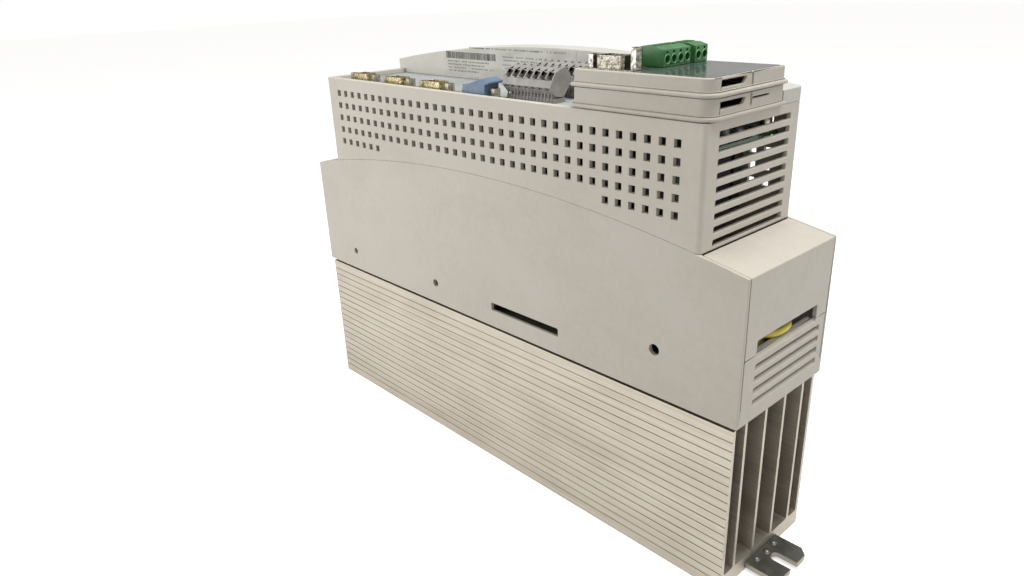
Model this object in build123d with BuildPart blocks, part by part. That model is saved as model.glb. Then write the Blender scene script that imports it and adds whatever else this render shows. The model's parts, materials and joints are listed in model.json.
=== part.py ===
"""Wall-mount servo drive, 78 mm wide, lying on its heatsink with the front facing up.

Millimetres. Origin at the middle of the back face: +X runs towards the mains end,
+Y towards the raised rating-plate wall and +Z out of the front of the drive.
"""
import math
import os

from build123d import *

os.makedirs("parts", exist_ok=True)

# ---- overall -------------------------------------------------------------------------
BODY_L = 350.0  # length without the fixing brackets
BODY_W = 78.0
HALF_L = BODY_L / 2
HALF_W = BODY_W / 2
ARCH_R = 883.7  # radius of both curved outlines, seen from the side
ARCH_LOW = 186.5  # top of the lower outline, where the upper housing starts
ARCH_HIGH = 250.0  # top of the rating-plate wall

# ---- heatsink ------------------------------------------------------------------------
SINK_L = 346.0
SINK_W = 76.0
SINK_SIDE_H = 93.5  # height of the open, visible part
SINK_TOP = 104.0  # face the power parts are bolted to
SINK_PLATE_W = 71.0
SINK_PLATE_L = 344.0
SINK_BASE = 9.0
SINK_WALL = 2.4
FIN_T = 2.0
FIN_INNER = 8.85
FIN_OUTER = 26.55
GROOVE_PITCH = 4.8
TRACK_W = 31.3  # groove the fixing brackets slide in
TRACK_LIP = 1.2
TRACK_TOP = 4.8
TRACK_MOUTH_W = 22.0

# ---- fixing brackets -----------------------------------------------------------------
BRACKET_W = 30.7
BRACKET_T = 3.0
BRACKET_Z = 1.5
BRACKET_TIP = 192.0  # 384 mm over both brackets
SLOT_X = 182.5  # 365 mm between the fixing slots
SLOT_R = 3.25

# ---- lower shroud --------------------------------------------------------------------
SHROUD_Z = 95.5
WALL = 2.4
END_WALL = 2.5
COVER_Z = 129.4  # the terminal covers sit above this
LUG_X = 165.0
LUG_Y = 31.5
LUG_TOP = 110.0

# ---- upper housing -------------------------------------------------------------------
HOUSING_X = 150.0
RIM_Z = 230.5
RIM_W = 4.0
RIM_UNDER = 227.6
PERF = 3.8
PERF_PITCH = 8.0
PERF_COLUMNS = 35
VENT_TOP_Z = 224.7
VENT_PITCH = 6.0
VENT_COUNT = 9
VENT_H = 3.0
PANEL_T = 1.8

# ---- terminal covers -----------------------------------------------------------------
COVER_Y = 37.0
COVER_GAP = 0.3
COVER_T = 2.2
WINDOW_Y = 27.3
WINDOW_TOP = 136.6

# ---- rating-plate wall ---------------------------------------------------------------
PLATE_WALL_Y = 23.0
PLATE_WALL_FLARE_Y = 21.2

# ---- boards --------------------------------------------------------------------------
POWER_Z = 114.0
POWER_TOP = 115.6
POWER_X = 158.0
CONTROL_Z = 215.0
CONTROL_TOP = 216.6
CONTROL_X = 142.0
BOARD_Y = 34.0
POWER_POSTS = [(x, y) for x in (-138.0, 0.0, 138.0) for y in (-28.5, 28.5)]
CONTROL_POSTS = [(x, y) for x in (-138.0, 138.0) for y in (-29.0, 29.0)]

# ---- power terminals -----------------------------------------------------------------
BLOCK_X0 = 146.0
BLOCK_X1 = 162.0
BLOCK_TOP = 131.0
BLOCK_SCREW_X = 154.0
POLE_PITCH = 9.5
POLE_Z = 121.5
POLES = [POLE_PITCH * (i - 2.5) for i in range(6)]
EARTH_X = 165.0
EARTH_Y = 14.0

# ---- front connectors ----------------------------------------------------------------
SUBD_X = (-120.0, -82.0, -44.0, -4.5)
SUBD_Y = -27.5
JACK_PITCH = 24.99
PLUG_X = 29.25
PLUG_HALF_L = 18.25
PLUG_PITCH = 5.08
PLUG_NEAR_Y = -18.0
PLUG_FAR_Y = 3.0
PLUG_POLES = [PLUG_X + PLUG_PITCH * (i - 3) for i in range(7)]

# ---- communication module ------------------------------------------------------------
MOD_X0 = 75.0
MOD_X1 = 150.9
MOD_Y0 = -38.2
MOD_Y1 = 19.5
MOD_Z0 = 230.7
MOD_SPLIT = 240.6
MOD_TOP = 248.5
MOD_BEAD = 0.7
MOD_BOARD_Z = 234.5
MOD_BOARD_TOP = 236.1
MOD_LINK_X = 111.0
MOD_LINK_Y = -8.0
MOD_SUBD_X = 93.0
MOD_SUBD_Y = -29.5
GREEN_X0 = 97.8
GREEN_X1 = 111.4
GREEN_Z0 = 248.8
GREEN_TOP = 257.6
GREEN_PITCH = 5.08
GREEN_4_Y = -7.4  # middle of the four-pole plug
GREEN_2_Y = 11.6  # middle of the two-pole plug


def arch_z(x, top):
    """Height of a curved outline at x."""
    return top - ARCH_R + math.sqrt(ARCH_R**2 - x**2)


def arched_profile(x0, x1, z_low, top, y=0.0):
    """Outline seen from the side: flat below, upright ends, curved above."""
    with BuildSketch(Plane.XZ.offset(-y)) as profile:
        with BuildLine():
            Polyline((x0, arch_z(x0, top)), (x0, z_low), (x1, z_low), (x1, arch_z(x1, top)))
            middle = (x0 + x1) / 2
            ThreePointArc(
                (x1, arch_z(x1, top)), (middle, arch_z(middle, top)), (x0, arch_z(x0, top))
            )
        make_face()
    return profile.sketch


def block(x0, x1, y0, y1, z0, z1, mode=Mode.ADD):
    """Box between two corners."""
    with Locations(((x0 + x1) / 2, (y0 + y1) / 2, (z0 + z1) / 2)):
        Box(abs(x1 - x0), abs(y1 - y0), abs(z1 - z0), mode=mode)


def rod(x, y, z0, z1, r, mode=Mode.ADD):
    """Upright cylinder between two heights."""
    with Locations((x, y, (z0 + z1) / 2)):
        Cylinder(r, z1 - z0, mode=mode)


def rod_x(x0, x1, y, z, r, mode=Mode.ADD):
    """Cylinder along X."""
    with Locations(Location(((x0 + x1) / 2, y, z), (0, 90, 0))):
        Cylinder(r, abs(x1 - x0), mode=mode)


def slotted_screw(x, y, z_tip, z_seat, z_top, r, head_r):
    """Screw standing upright: shank, head and driver slot."""
    rod(x, y, z_tip, z_seat, r)
    rod(x, y, z_seat, z_top, head_r)
    slot_depth = 0.4 * (z_top - z_seat)
    block(x - head_r, x + head_r, y - 0.35, y + 0.35, z_top - slot_depth, z_top, Mode.SUBTRACT)


def d_outline(width, height, plane):
    """D-shaped outline of a D-sub shell, wide side towards -Y."""
    slant = height * math.tan(math.radians(10))
    with BuildSketch(plane) as outline:
        with BuildLine():
            Polyline(
                (-width / 2, -height / 2),
                (width / 2, -height / 2),
                (width / 2 - slant, height / 2),
                (-width / 2 + slant, height / 2),
                close=True,
            )
        make_face()
        fillet(outline.vertices(), 1.6)
    return outline.sketch


def save(part, label):
    part.label = label
    export_step(part, f"parts/{label}.step")


# ======================================================================================
# heatsink and fixing brackets
# ======================================================================================
def heatsink():
    with BuildPart() as sink:
        with BuildSketch(Plane.YZ):
            with Locations((0, SINK_SIDE_H / 2)):
                Rectangle(SINK_W, SINK_SIDE_H)
            with Locations((0, (SINK_SIDE_H + SINK_TOP) / 2)):
                Rectangle(SINK_PLATE_W, SINK_TOP - SINK_SIDE_H)
            channel_top = SINK_TOP - 8.0
            edges = [-SINK_W / 2 + SINK_WALL]
            for fin in (-FIN_OUTER, -FIN_INNER, FIN_INNER, FIN_OUTER):
                edges += [fin - FIN_T / 2, fin + FIN_T / 2]
            edges += [SINK_W / 2 - SINK_WALL]
            for low, high in zip(edges[0::2], edges[1::2]):
                with Locations(((low + high) / 2, (SINK_BASE + channel_top) / 2)):
                    RectangleRounded(high - low, channel_top - SINK_BASE, 1.5, mode=Mode.SUBTRACT)
            for side in (-1, 1):
                for i in range(18):
                    with Locations((side * SINK_W / 2, 6.0 + GROOVE_PITCH * i)):
                        Rectangle(0.8, 0.6, mode=Mode.SUBTRACT)
            with Locations((0, TRACK_LIP / 2)):
                Rectangle(TRACK_MOUTH_W, TRACK_LIP, mode=Mode.SUBTRACT)
            with Locations((0, (TRACK_LIP + TRACK_TOP) / 2)):
                Rectangle(TRACK_W, TRACK_TOP - TRACK_LIP, mode=Mode.SUBTRACT)
        extrude(amount=SINK_L / 2, both=True)
        for side in (-1, 1):
            block(side * SINK_PLATE_L / 2, side * 180, -40, 40, SINK_SIDE_H, 106, Mode.SUBTRACT)
            for y in (-LUG_Y, LUG_Y):
                rod(side * LUG_X, y, 98.0, 105.0, 2.05, Mode.SUBTRACT)
            rod(side * EARTH_X, EARTH_Y, 98.0, 105.0, 2.05, Mode.SUBTRACT)
        for x, y in POWER_POSTS:
            rod(x, y, 99.0, 105.0, 1.6, Mode.SUBTRACT)
    return sink.part


def fixing_bracket(side):
    """Flat zinc-plated tongue with an open slot; side is +1 or -1 along X."""
    with BuildPart() as bracket:
        with BuildSketch(Plane.XY.offset(BRACKET_Z)):
            x_in = 132.0
            with BuildLine():
                half = BRACKET_W / 2
                Polyline(
                    (side * x_in, -half),
                    (side * (BRACKET_TIP - 4), -half),
                    (side * BRACKET_TIP, -half + 4),
                    (side * BRACKET_TIP, half - 4),
                    (side * (BRACKET_TIP - 4), half),
                    (side * x_in, half),
                    close=True,
                )
            make_face()
            with Locations((side * SLOT_X, 0)):
                Circle(SLOT_R, mode=Mode.SUBTRACT)
            with Locations((side * (SLOT_X + 10), 0)):
                Rectangle(20, 2 * SLOT_R, mode=Mode.SUBTRACT)
        extrude(amount=BRACKET_T)
        # pressed bumps that stop the tongue against the end of the heatsink
        for x, y in ((175.6, -8.5), (175.6, 8.5), (176.4, 0.0)):
            with Locations((side * x, y, BRACKET_Z + BRACKET_T - 1.2)):
                Sphere(2.3)
    return bracket.part


# ======================================================================================
# shroud, housing and covers
# ======================================================================================
def base_shroud():
    with BuildPart() as shroud:
        extrude(arched_profile(-HALF_L, HALF_L, SHROUD_Z, ARCH_LOW), amount=HALF_W, both=True)
        inner_x = HALF_L - END_WALL
        inner_y = HALF_W - WALL
        block(-inner_x, inner_x, -inner_y, inner_y, 90, 200, Mode.SUBTRACT)
        for side in (-1, 1):
            # lugs screwed down on the heatsink
            for y in (-1, 1):
                block(side * 160, side * inner_x, y * 27, y * inner_y, SINK_TOP, LUG_TOP)
                rod(side * LUG_X, y * LUG_Y, SINK_TOP, LUG_TOP, 2.05, Mode.SUBTRACT)
            # sloping sill under the wire window
            with BuildSketch(Plane.XZ):
                with BuildLine():
                    Polyline(
                        (side * HALF_L, COVER_Z - 4.5),
                        (side * HALF_L, COVER_Z - 1.6),
                        (side * 170.2, COVER_Z),
                        (side * 170.2, COVER_Z - 1.4),
                        (side * 172.5, COVER_Z - 4.5),
                        close=True,
                    )
                make_face()
            extrude(amount=WINDOW_Y, both=True)
            # room for the terminal cover
            block(side * 150.2, side * 176, -37.3, 37.3, COVER_Z, 200, Mode.SUBTRACT)
            with BuildSketch(Plane.XZ):
                with BuildLine():
                    Polyline(
                        (side * (HALF_L + 0.1), COVER_Z - 1.6),
                        (side * (HALF_L + 0.1), COVER_Z + 1),
                        (side * 170.2, COVER_Z + 1),
                        (side * 170.2, COVER_Z),
                        close=True,
                    )
                make_face()
            extrude(amount=WINDOW_Y, both=True, mode=Mode.SUBTRACT)
            # louvres: level top edge, lip sloping outwards
            for i in range(4):
                z = 123.0 - 6.1 * i
                with BuildSketch(Plane.XZ.offset(-2.4)):
                    with BuildLine():
                        Polyline(
                            (side * (HALF_L + 0.1), z - 2.0),
                            (side * (HALF_L + 0.1), z + 1.6),
                            (side * 172.0, z + 1.6),
                            (side * 172.0, z - 0.7),
                            (side * 173.4, z - 0.7),
                            close=True,
                        )
                    make_face()
                extrude(amount=29.6, both=True, mode=Mode.SUBTRACT)
            # line between the side wall and the end wall
            for y in (-37.2, 37.2):
                block(
                    side * (HALF_L - 0.5), side * (HALF_L + 0.1), y - 0.2, y + 0.2,
                    104.8, COVER_Z, Mode.SUBTRACT,
                )
        # openings in the side wall
        with BuildSketch(Plane.XZ.offset(HALF_W)):
            for x, z, r in ((-137.8, 109.1, 2.25), (-44.4, 109.0, 2.5), (127.9, 120.4, 3.0)):
                with Locations((x, z)):
                    Circle(r)
            with Locations((36.4, 108.4)):
                Rectangle(54.3, 4.8)
        extrude(amount=-WALL, mode=Mode.SUBTRACT)
    return shroud.part


def upper_housing():
    with BuildPart() as housing:
        block(-HOUSING_X, HOUSING_X, -HALF_W, HALF_W, 165, RIM_Z)
        fillet(housing.edges().filter_by(Axis.Z), 2.5)
        extrude(arched_profile(-160, 160, 100, ARCH_LOW), amount=50, both=True, mode=Mode.SUBTRACT)
        inner_x = HOUSING_X - WALL
        inner_y = HALF_W - WALL
        block(-inner_x, inner_x, -inner_y, inner_y, 160, RIM_UNDER, Mode.SUBTRACT)
        rim_x = HOUSING_X - RIM_W
        rim_y = HALF_W - RIM_W
        block(-rim_x, rim_x, -rim_y, rim_y, 220, 240, Mode.SUBTRACT)
        # square perforations in both long walls
        with BuildSketch(Plane.XZ):
            with Locations((0, 209)):
                with GridLocations(PERF_PITCH, PERF_PITCH, PERF_COLUMNS, 4):
                    Rectangle(PERF, PERF)
            for x in (-116, 116):
                with Locations((x, 189)):
                    with GridLocations(PERF_PITCH, PERF_PITCH, 6, 1):
                        Rectangle(PERF, PERF)
        extrude(amount=50, both=True, mode=Mode.SUBTRACT)
        # slots in both end walls
        with BuildSketch(Plane.YZ):
            for i in range(VENT_COUNT):
                with Locations((0.5, VENT_TOP_Z - VENT_PITCH * i)):
                    Rectangle(59, VENT_H)
        extrude(amount=160, both=True, mode=Mode.SUBTRACT)
    return housing.part


def front_panel():
    z0 = RIM_UNDER - PANEL_T
    with BuildPart() as panel:
        block(-147.4, 147.4, -36.4, 36.4, z0, RIM_UNDER)
        for x in SUBD_X:
            block(x - 9.5, x + 9.5, SUBD_Y - 5, SUBD_Y + 5, z0, RIM_UNDER, Mode.SUBTRACT)
            for jack in (-1, 1):
                rod(x + jack * JACK_PITCH / 2, SUBD_Y, z0, RIM_UNDER, 1.6, Mode.SUBTRACT)
        for y in (PLUG_NEAR_Y, PLUG_FAR_Y):
            block(PLUG_X - 17, PLUG_X + 17, y - 2, y + 2, z0, RIM_UNDER, Mode.SUBTRACT)
        block(
            MOD_LINK_X - 22, MOD_LINK_X + 22, MOD_LINK_Y - 5, MOD_LINK_Y + 5,
            z0, RIM_UNDER, Mode.SUBTRACT,
        )
    return panel.part


def nameplate_wall():
    with BuildPart() as wall:
        extrude(arched_profile(-HOUSING_X, HOUSING_X, RIM_UNDER, ARCH_HIGH), amount=HALF_W, both=True)
        with BuildSketch(Plane.XY.offset(220)) as plan:
            with BuildLine():
                Polyline(
                    (-HOUSING_X, HALF_W),
                    (-HOUSING_X, PLATE_WALL_FLARE_Y),
                    (-143, PLATE_WALL_Y),
                    (143, PLATE_WALL_Y),
                    (HOUSING_X, PLATE_WALL_FLARE_Y),
                    (HOUSING_X, HALF_W),
                    close=True,
                )
            make_face()
            fillet(plan.vertices().group_by(Axis.Y)[-1], 2.5)
        extrude(amount=40, mode=Mode.INTERSECT)
        # foot inside the rim of the housing
        for side in (-1, 1):
            block(side * 145.8, side * 151, 20, 40, 226, RIM_Z, Mode.SUBTRACT)
        block(-151, 151, HALF_W - RIM_W - 0.2, 40, 226, RIM_Z, Mode.SUBTRACT)
        block(-151, 151, 20, PLATE_WALL_Y, 226, RIM_Z, Mode.SUBTRACT)
        hollow = arched_profile(-147.6, 147.6, 220, ARCH_HIGH - 2.2, y=30.9)
        extrude(hollow, amount=5.7, both=True, mode=Mode.SUBTRACT)
    return wall.part


def rating_label():
    with BuildPart() as label:
        sheet = arched_profile(-100, 21, 229, ARCH_HIGH - 1.2, y=PLATE_WALL_Y - 0.1)
        extrude(sheet, amount=0.1, both=True)
    return label.part


def terminal_cover(side):
    with BuildPart() as cover:
        x0 = 150.5
        low = COVER_Z + COVER_GAP
        outer = sorted((side * x0, side * HALF_L))
        inner = sorted((side * (x0 - 1), side * (HALF_L - COVER_T)))
        extrude(arched_profile(*outer, low, ARCH_LOW), amount=COVER_Y, both=True)
        extrude(
            arched_profile(*inner, low - 5, ARCH_LOW - COVER_T),
            amount=COVER_Y - COVER_T, both=True, mode=Mode.SUBTRACT,
        )
        block(side * 170, side * 176, -WINDOW_Y, WINDOW_Y, low - 1, WINDOW_TOP, Mode.SUBTRACT)
        # stiffening ribs under the curved top
        for y in (-12, 12):
            block(side * 151.5, side * 173.5, y - 0.8, y + 0.8, 160, arch_z(HALF_L, ARCH_LOW) - 0.5)
    return cover.part


# ======================================================================================
# power side
# ======================================================================================
def power_terminal_block(side):
    with BuildPart() as terminal:
        block(side * BLOCK_X0, side * BLOCK_X1, -29.5, 29.5, POWER_TOP, BLOCK_TOP)
        for y in POLES:
            rod_x(side * (BLOCK_X1 - 9), side * (BLOCK_X1 + 1), y, POLE_Z, 2.7, Mode.SUBTRACT)
            rod(side * BLOCK_SCREW_X, y, POLE_Z, BLOCK_TOP + 1, 2.6, Mode.SUBTRACT)
        for i in range(5):
            y = POLE_PITCH * (i - 2)
            block(side * 158, side * 163, y - 0.5, y + 0.5, 127, 132, Mode.SUBTRACT)
    return terminal.part


def power_terminal_screws(side):
    with BuildPart() as screws:
        for y in POLES:
            slotted_screw(side * BLOCK_SCREW_X, y, 124.5, 126.0, 128.5, 1.9, 2.5)
    return screws.part


def earth_screws():
    with BuildPart() as screws:
        slotted_screw(EARTH_X, EARTH_Y, 98.5, SINK_TOP + 1.0, 107.6, 2.0, 3.6)
        slotted_screw(-EARTH_X, EARTH_Y, 98.5, SINK_TOP, 106.6, 2.0, 3.6)
    return screws.part


def earth_lead():
    """Green-yellow lead from the earth pole of the mains terminals to the heatsink screw."""
    y_pole = POLES[1]
    lead_x = 165.5
    with BuildPart() as lead:
        with BuildLine() as route:
            FilletPolyline(
                (BLOCK_X1 - 6, y_pole, POLE_Z),
                (lead_x, y_pole, POLE_Z),
                (lead_x, -12.0, 131.9),
                (171.6, -6.0, 131.9),
                (171.6, 7.0, 131.9),
                (lead_x, 12.0, 131.9),
                (EARTH_X, -4.0, 107.0),
                (EARTH_X, EARTH_Y - 4.8, 107.0),
                radius=4.0,
            )
        with BuildSketch(Plane(origin=route.line @ 0, z_dir=route.line % 0)):
            Circle(2.2)
        sweep()
        # crimped ring lug
        with BuildSketch(Plane.XY.offset(SINK_TOP)):
            with Locations((EARTH_X, EARTH_Y)):
                Circle(4.2)
            with Locations((EARTH_X, EARTH_Y - 5)):
                Rectangle(5, 6)
            with Locations((EARTH_X, EARTH_Y)):
                Circle(2.1, mode=Mode.SUBTRACT)
        extrude(amount=1.0)
        with Locations(Location((EARTH_X, EARTH_Y - 7, 107.0), (90, 0, 0))):
            Cylinder(2.9, 4.4)
        block(EARTH_X - 2, EARTH_X + 2, EARTH_Y - 9, EARTH_Y - 5, SINK_TOP + 0.5, 106)
    return lead.part


def power_board():
    with BuildPart() as board:
        block(-POWER_X, POWER_X, -BOARD_Y, BOARD_Y, POWER_Z, POWER_TOP)
        for x, y in POWER_POSTS:
            rod(x, y, POWER_Z, POWER_TOP, 1.6, Mode.SUBTRACT)
    return board.part


def board_standoffs():
    with BuildPart() as posts:
        for x, y in POWER_POSTS:
            rod(x, y, SINK_TOP, POWER_Z, 3.0)
            rod(x, y, SINK_TOP, POWER_Z, 1.6, Mode.SUBTRACT)
    return posts.part


def board_screws():
    with BuildPart() as screws:
        for x, y in POWER_POSTS:
            slotted_screw(x, y, 100.0, POWER_TOP, POWER_TOP + 2.2, 1.5, 2.8)
    return screws.part


def power_module():
    with BuildPart() as module:
        block(-75, -15, -22, 22, SINK_TOP + 0.3, POWER_Z)
        fillet(module.edges().filter_by(Axis.Z), 2)
    return module.part


def thermal_pad():
    with BuildPart() as pad:
        block(-77, -13, -24, 24, SINK_TOP, SINK_TOP + 0.3)
    return pad.part


def rectifier_bridge():
    with BuildPart() as bridge:
        block(60, 95, -12, 12, SINK_TOP, POWER_Z)
        fillet(bridge.edges().filter_by(Axis.Z), 1.5)
    return bridge.part


def link_capacitors():
    with BuildPart() as cans:
        for x in (-116, -82, -48, -14):
            rod(x, 16.5, POWER_TOP, POWER_TOP + 45, 15)
            with Locations((x, 16.5, POWER_TOP + 41)):
                Torus(15.4, 1.0, mode=Mode.SUBTRACT)
    return cans.part


def mains_choke():
    with BuildPart() as choke:
        rod(118, 0, POWER_TOP, POWER_TOP + 15, 17)
        fillet(choke.edges().filter_by(GeomType.CIRCLE), 2)
        rod(118, 0, POWER_TOP, POWER_TOP + 15, 8.5, Mode.SUBTRACT)
    return choke.part


def charge_relays():
    with BuildPart() as relays:
        for y in (-16, 16):
            block(66, 92, y - 7, y + 7, POWER_TOP, POWER_TOP + 18)
    return relays.part


def supply_transformer():
    with BuildPart() as transformer:
        block(24, 52, -28, -4, POWER_TOP, POWER_TOP + 5)
        block(28, 48, -30, -2, POWER_TOP + 5, POWER_TOP + 26)
        block(24, 52, -22, -10, POWER_TOP + 5, POWER_TOP + 22)
    return transformer.part


def board_link_sockets():
    with BuildPart() as sockets:
        block(-40, -6, -24, -16, POWER_TOP, POWER_TOP + 9)
        block(-40, -6, -24, -16, CONTROL_Z - 9, CONTROL_Z)
    return sockets.part


def ribbon_cable():
    with BuildPart() as ribbon:
        block(-36, -10, -20.5, -19.5, POWER_TOP + 9, CONTROL_Z - 9)
    return ribbon.part


def housing_screws():
    with BuildPart() as screws:
        for x in (-LUG_X, LUG_X):
            for y in (-LUG_Y, LUG_Y):
                slotted_screw(x, y, 98.5, LUG_TOP, LUG_TOP + 2.6, 2.0, 3.6)
    return screws.part


# ======================================================================================
# control side
# ======================================================================================
def control_board():
    with BuildPart() as board:
        block(-CONTROL_X, CONTROL_X, -BOARD_Y, BOARD_Y, CONTROL_Z, CONTROL_TOP)
        for x, y in CONTROL_POSTS:
            rod(x, y, CONTROL_Z, CONTROL_TOP, 1.6, Mode.SUBTRACT)
    return board.part


def control_standoffs():
    with BuildPart() as posts:
        for x, y in CONTROL_POSTS:
            rod(x, y, CONTROL_TOP, RIM_UNDER - PANEL_T, 3.0)
            rod(x, y, CONTROL_TOP, RIM_UNDER - PANEL_T - 2, 1.6, Mode.SUBTRACT)
    return posts.part


def control_screws():
    with BuildPart() as screws:
        for x, y in CONTROL_POSTS:
            rod(x, y, CONTROL_Z - 2.0, CONTROL_Z, 2.8)
            rod(x, y, CONTROL_Z, CONTROL_TOP + 6, 1.5)
    return screws.part


def subd_shell_at(x, y, z, height):
    """Metal flange and D-shaped collar standing on z, with its open mouth upwards."""
    block(x - 15.4, x + 15.4, y - 6.25, y + 6.25, z, z + 0.5)
    base = Plane(origin=(x, y, z))
    extrude(d_outline(16.9, 8.4, base), amount=height)
    extrude(d_outline(15.9, 7.4, base), amount=height + 1, mode=Mode.SUBTRACT)
    for jack in (-1, 1):
        rod(x + jack * JACK_PITCH / 2, y, z - 1, z + 1, 1.5, Mode.SUBTRACT)


def subd_insert_at(x, y, z_foot, z_top):
    """Plastic contact carrier with its nine contact holes."""
    extrude(d_outline(15.6, 7.1, Plane(origin=(x, y, z_foot))), amount=z_top - z_foot)
    for row, count in ((-1, 5), (1, 4)):
        for i in range(count):
            dx = 2.77 * (i - (count - 1) / 2)
            rod(x + dx, y + row * 1.42, z_top - 3, z_top + 1, 0.55, Mode.SUBTRACT)


def jack_nut_at(x, y, z, height, tail):
    """Hexagonal female jackscrew; its stud goes down through the panel."""
    with BuildSketch(Plane(origin=(x, y, z))) as hexagon:
        RegularPolygon(2.75, 6)
    extrude(hexagon.sketch, amount=height)
    rod(x, y, z - tail, z, 1.4)
    rod(x, y, z + 1, z + height + 1, 1.3, Mode.SUBTRACT)


def subd_shells():
    with BuildPart() as shells:
        for x in SUBD_X:
            subd_shell_at(x, SUBD_Y, RIM_UNDER, 6.2)
    return shells.part


def subd_inserts():
    with BuildPart() as inserts:
        for x in SUBD_X:
            subd_insert_at(x, SUBD_Y, CONTROL_TOP, RIM_UNDER + 5.6)
    return inserts.part


def subd_jackscrews():
    with BuildPart() as jacks:
        for x in SUBD_X:
            for jack in (-1, 1):
                jack_nut_at(x + jack * JACK_PITCH / 2, SUBD_Y, RIM_UNDER + 0.5, 5.2, 6)
    return jacks.part


def dust_cap():
    """Blue cap pushed over the last D-sub socket, with a raised pull tab."""
    x, y = SUBD_X[3], SUBD_Y
    z = RIM_UNDER + 0.8
    with BuildPart() as cap:
        with BuildSketch(Plane.XZ.offset(-y)):
            with BuildLine():
                Polyline(
                    (x - 9.3, z),
                    (x + 9.6, z),
                    (x + 9.6, z + 6.6),
                    (x + 13.5, z + 7.8),
                    (x + 13.5, z + 8.8),
                    (x + 8.0, z + 10.3),
                    (x - 4.0, z + 6.9),
                    (x - 9.3, z + 6.2),
                    close=True,
                )
            make_face()
        extrude(amount=5.4, both=True)
        extrude(d_outline(17.5, 9.0, Plane(origin=(x, y, z))), amount=5.9, mode=Mode.SUBTRACT)
    return cap.part


def terminal_header(y):
    """Grey pin header: base on the panel, tongue up inside the plug, pins to the board."""
    with BuildPart() as header:
        block(PLUG_X - 17.8, PLUG_X + 17.8, y - 4.2, y + 4.2, RIM_UNDER, 230.1)
        block(PLUG_X - 16.7, PLUG_X + 16.7, y - 2.5, y + 2.5, 230.1, 235.5)
        for x in PLUG_POLES:
            block(x - 0.5, x + 0.5, y - 0.5, y + 0.5, CONTROL_TOP, RIM_UNDER)
    return header.part


def terminal_plug(y):
    """Seven-pole screw-terminal plug, leaning towards the near side."""
    outline = (
        (-2.9, 243.5), (4.2, 245.8), (7.9, 241.1), (7.9, 236.8),
        (2.5, 230.4), (-3.1, 231.1), (-7.5, 235.8), (-5.7, 239.4),
    )
    with BuildPart() as plug:
        with BuildSketch(Plane.YZ.offset(PLUG_X)):
            with BuildLine():
                Polyline(*[(y + dy, z) for dy, z in outline], close=True)
            make_face()
        extrude(amount=PLUG_HALF_L, both=True)
        block(PLUG_X - 17.0, PLUG_X + 17.0, y - 2.8, y + 2.8, 229, 236, Mode.SUBTRACT)
        for x in PLUG_POLES:
            mouth = Location((x, y - 4.3, 241.5), (55.7, 0, 0)) * Location((0, 0, 0), (0, 0, -14))
            with Locations(mouth):
                Box(3.9, 4.1, 8, mode=Mode.SUBTRACT)
            with Locations(Location((x, y - 6.6, 234.9), (133, 0, 0))):
                Box(2.8, 2.0, 1.8, mode=Mode.SUBTRACT)
            rod(x, y + 3.4, 238.5, 247, 1.55, Mode.SUBTRACT)
    return plug.part


def terminal_plug_screws(y):
    with BuildPart() as screws:
        for x in PLUG_POLES:
            slotted_screw(x, y + 3.4, 238.5, 241.0, 243.2, 1.2, 1.5)
    return screws.part


def module_socket():
    """Board socket that the communication module plugs into."""
    with BuildPart() as socket:
        x, y = MOD_LINK_X, MOD_LINK_Y
        block(x - 22.5, x + 22.5, y - 5.5, y + 5.5, CONTROL_TOP, 225.6)
        block(x - 20.4, x + 20.4, y - 3.3, y + 3.3, 219, 226, Mode.SUBTRACT)
    return socket.part


# ======================================================================================
# communication module
# ======================================================================================
def module_plan(grow, z):
    """Outline of the module seen from the front, with one large rounded corner."""
    x0, x1 = MOD_X0 - grow, MOD_X1 + grow
    y0, y1 = MOD_Y0 - grow, MOD_Y1 + grow
    with BuildSketch(Plane.XY.offset(z)) as plan:
        with Locations(((x0 + x1) / 2, (y0 + y1) / 2)):
            Rectangle(x1 - x0, y1 - y0)
        by_distance = plan.vertices().sort_by_distance((x1, y0, z))
        fillet(by_distance[0], 6.5 + grow)
        far = [v for v in plan.vertices() if v.X < x0 + 0.01 or v.Y > y1 - 0.01]
        fillet(far, 1.5 + max(grow, -1.0))
    return plan.sketch


def end_window(z0, z1):
    """Cooling window in the end wall of the module, one end slanted."""
    with BuildSketch(Plane.YZ.offset(148)) as window:
        with BuildLine():
            Polyline((-31.6, z0), (-14.2, z0), (-11.8, z1), (-31.6, z1), close=True)
        make_face()
        fillet(window.vertices(), 0.6)
    extrude(window.sketch, amount=4, mode=Mode.SUBTRACT)


def module_base():
    with BuildPart() as base:
        extrude(module_plan(0, MOD_Z0), amount=MOD_SPLIT - MOD_Z0)
        extrude(module_plan(MOD_BEAD, MOD_Z0), amount=2.3)
        extrude(module_plan(-2.0, MOD_Z0 + 2), amount=20, mode=Mode.SUBTRACT)
        x, y = MOD_LINK_X, MOD_LINK_Y
        block(x - 20.5, x + 20.5, y - 3.4, y + 3.4, 230, 234, Mode.SUBTRACT)
        end_window(235.7, 238.5)
        block(148, 152, -7, 7, 237.0, 237.9, Mode.SUBTRACT)
        block(MOD_X1 - 0.4, MOD_X1, -8.2, -7.8, 234.5, 239.5, Mode.SUBTRACT)
        # seats of the board
        for px in (80, 146):
            for py in (-33, 14):
                rod(px, py, MOD_Z0 + 1.5, MOD_BOARD_Z, 2.2)
    return base.part


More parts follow.
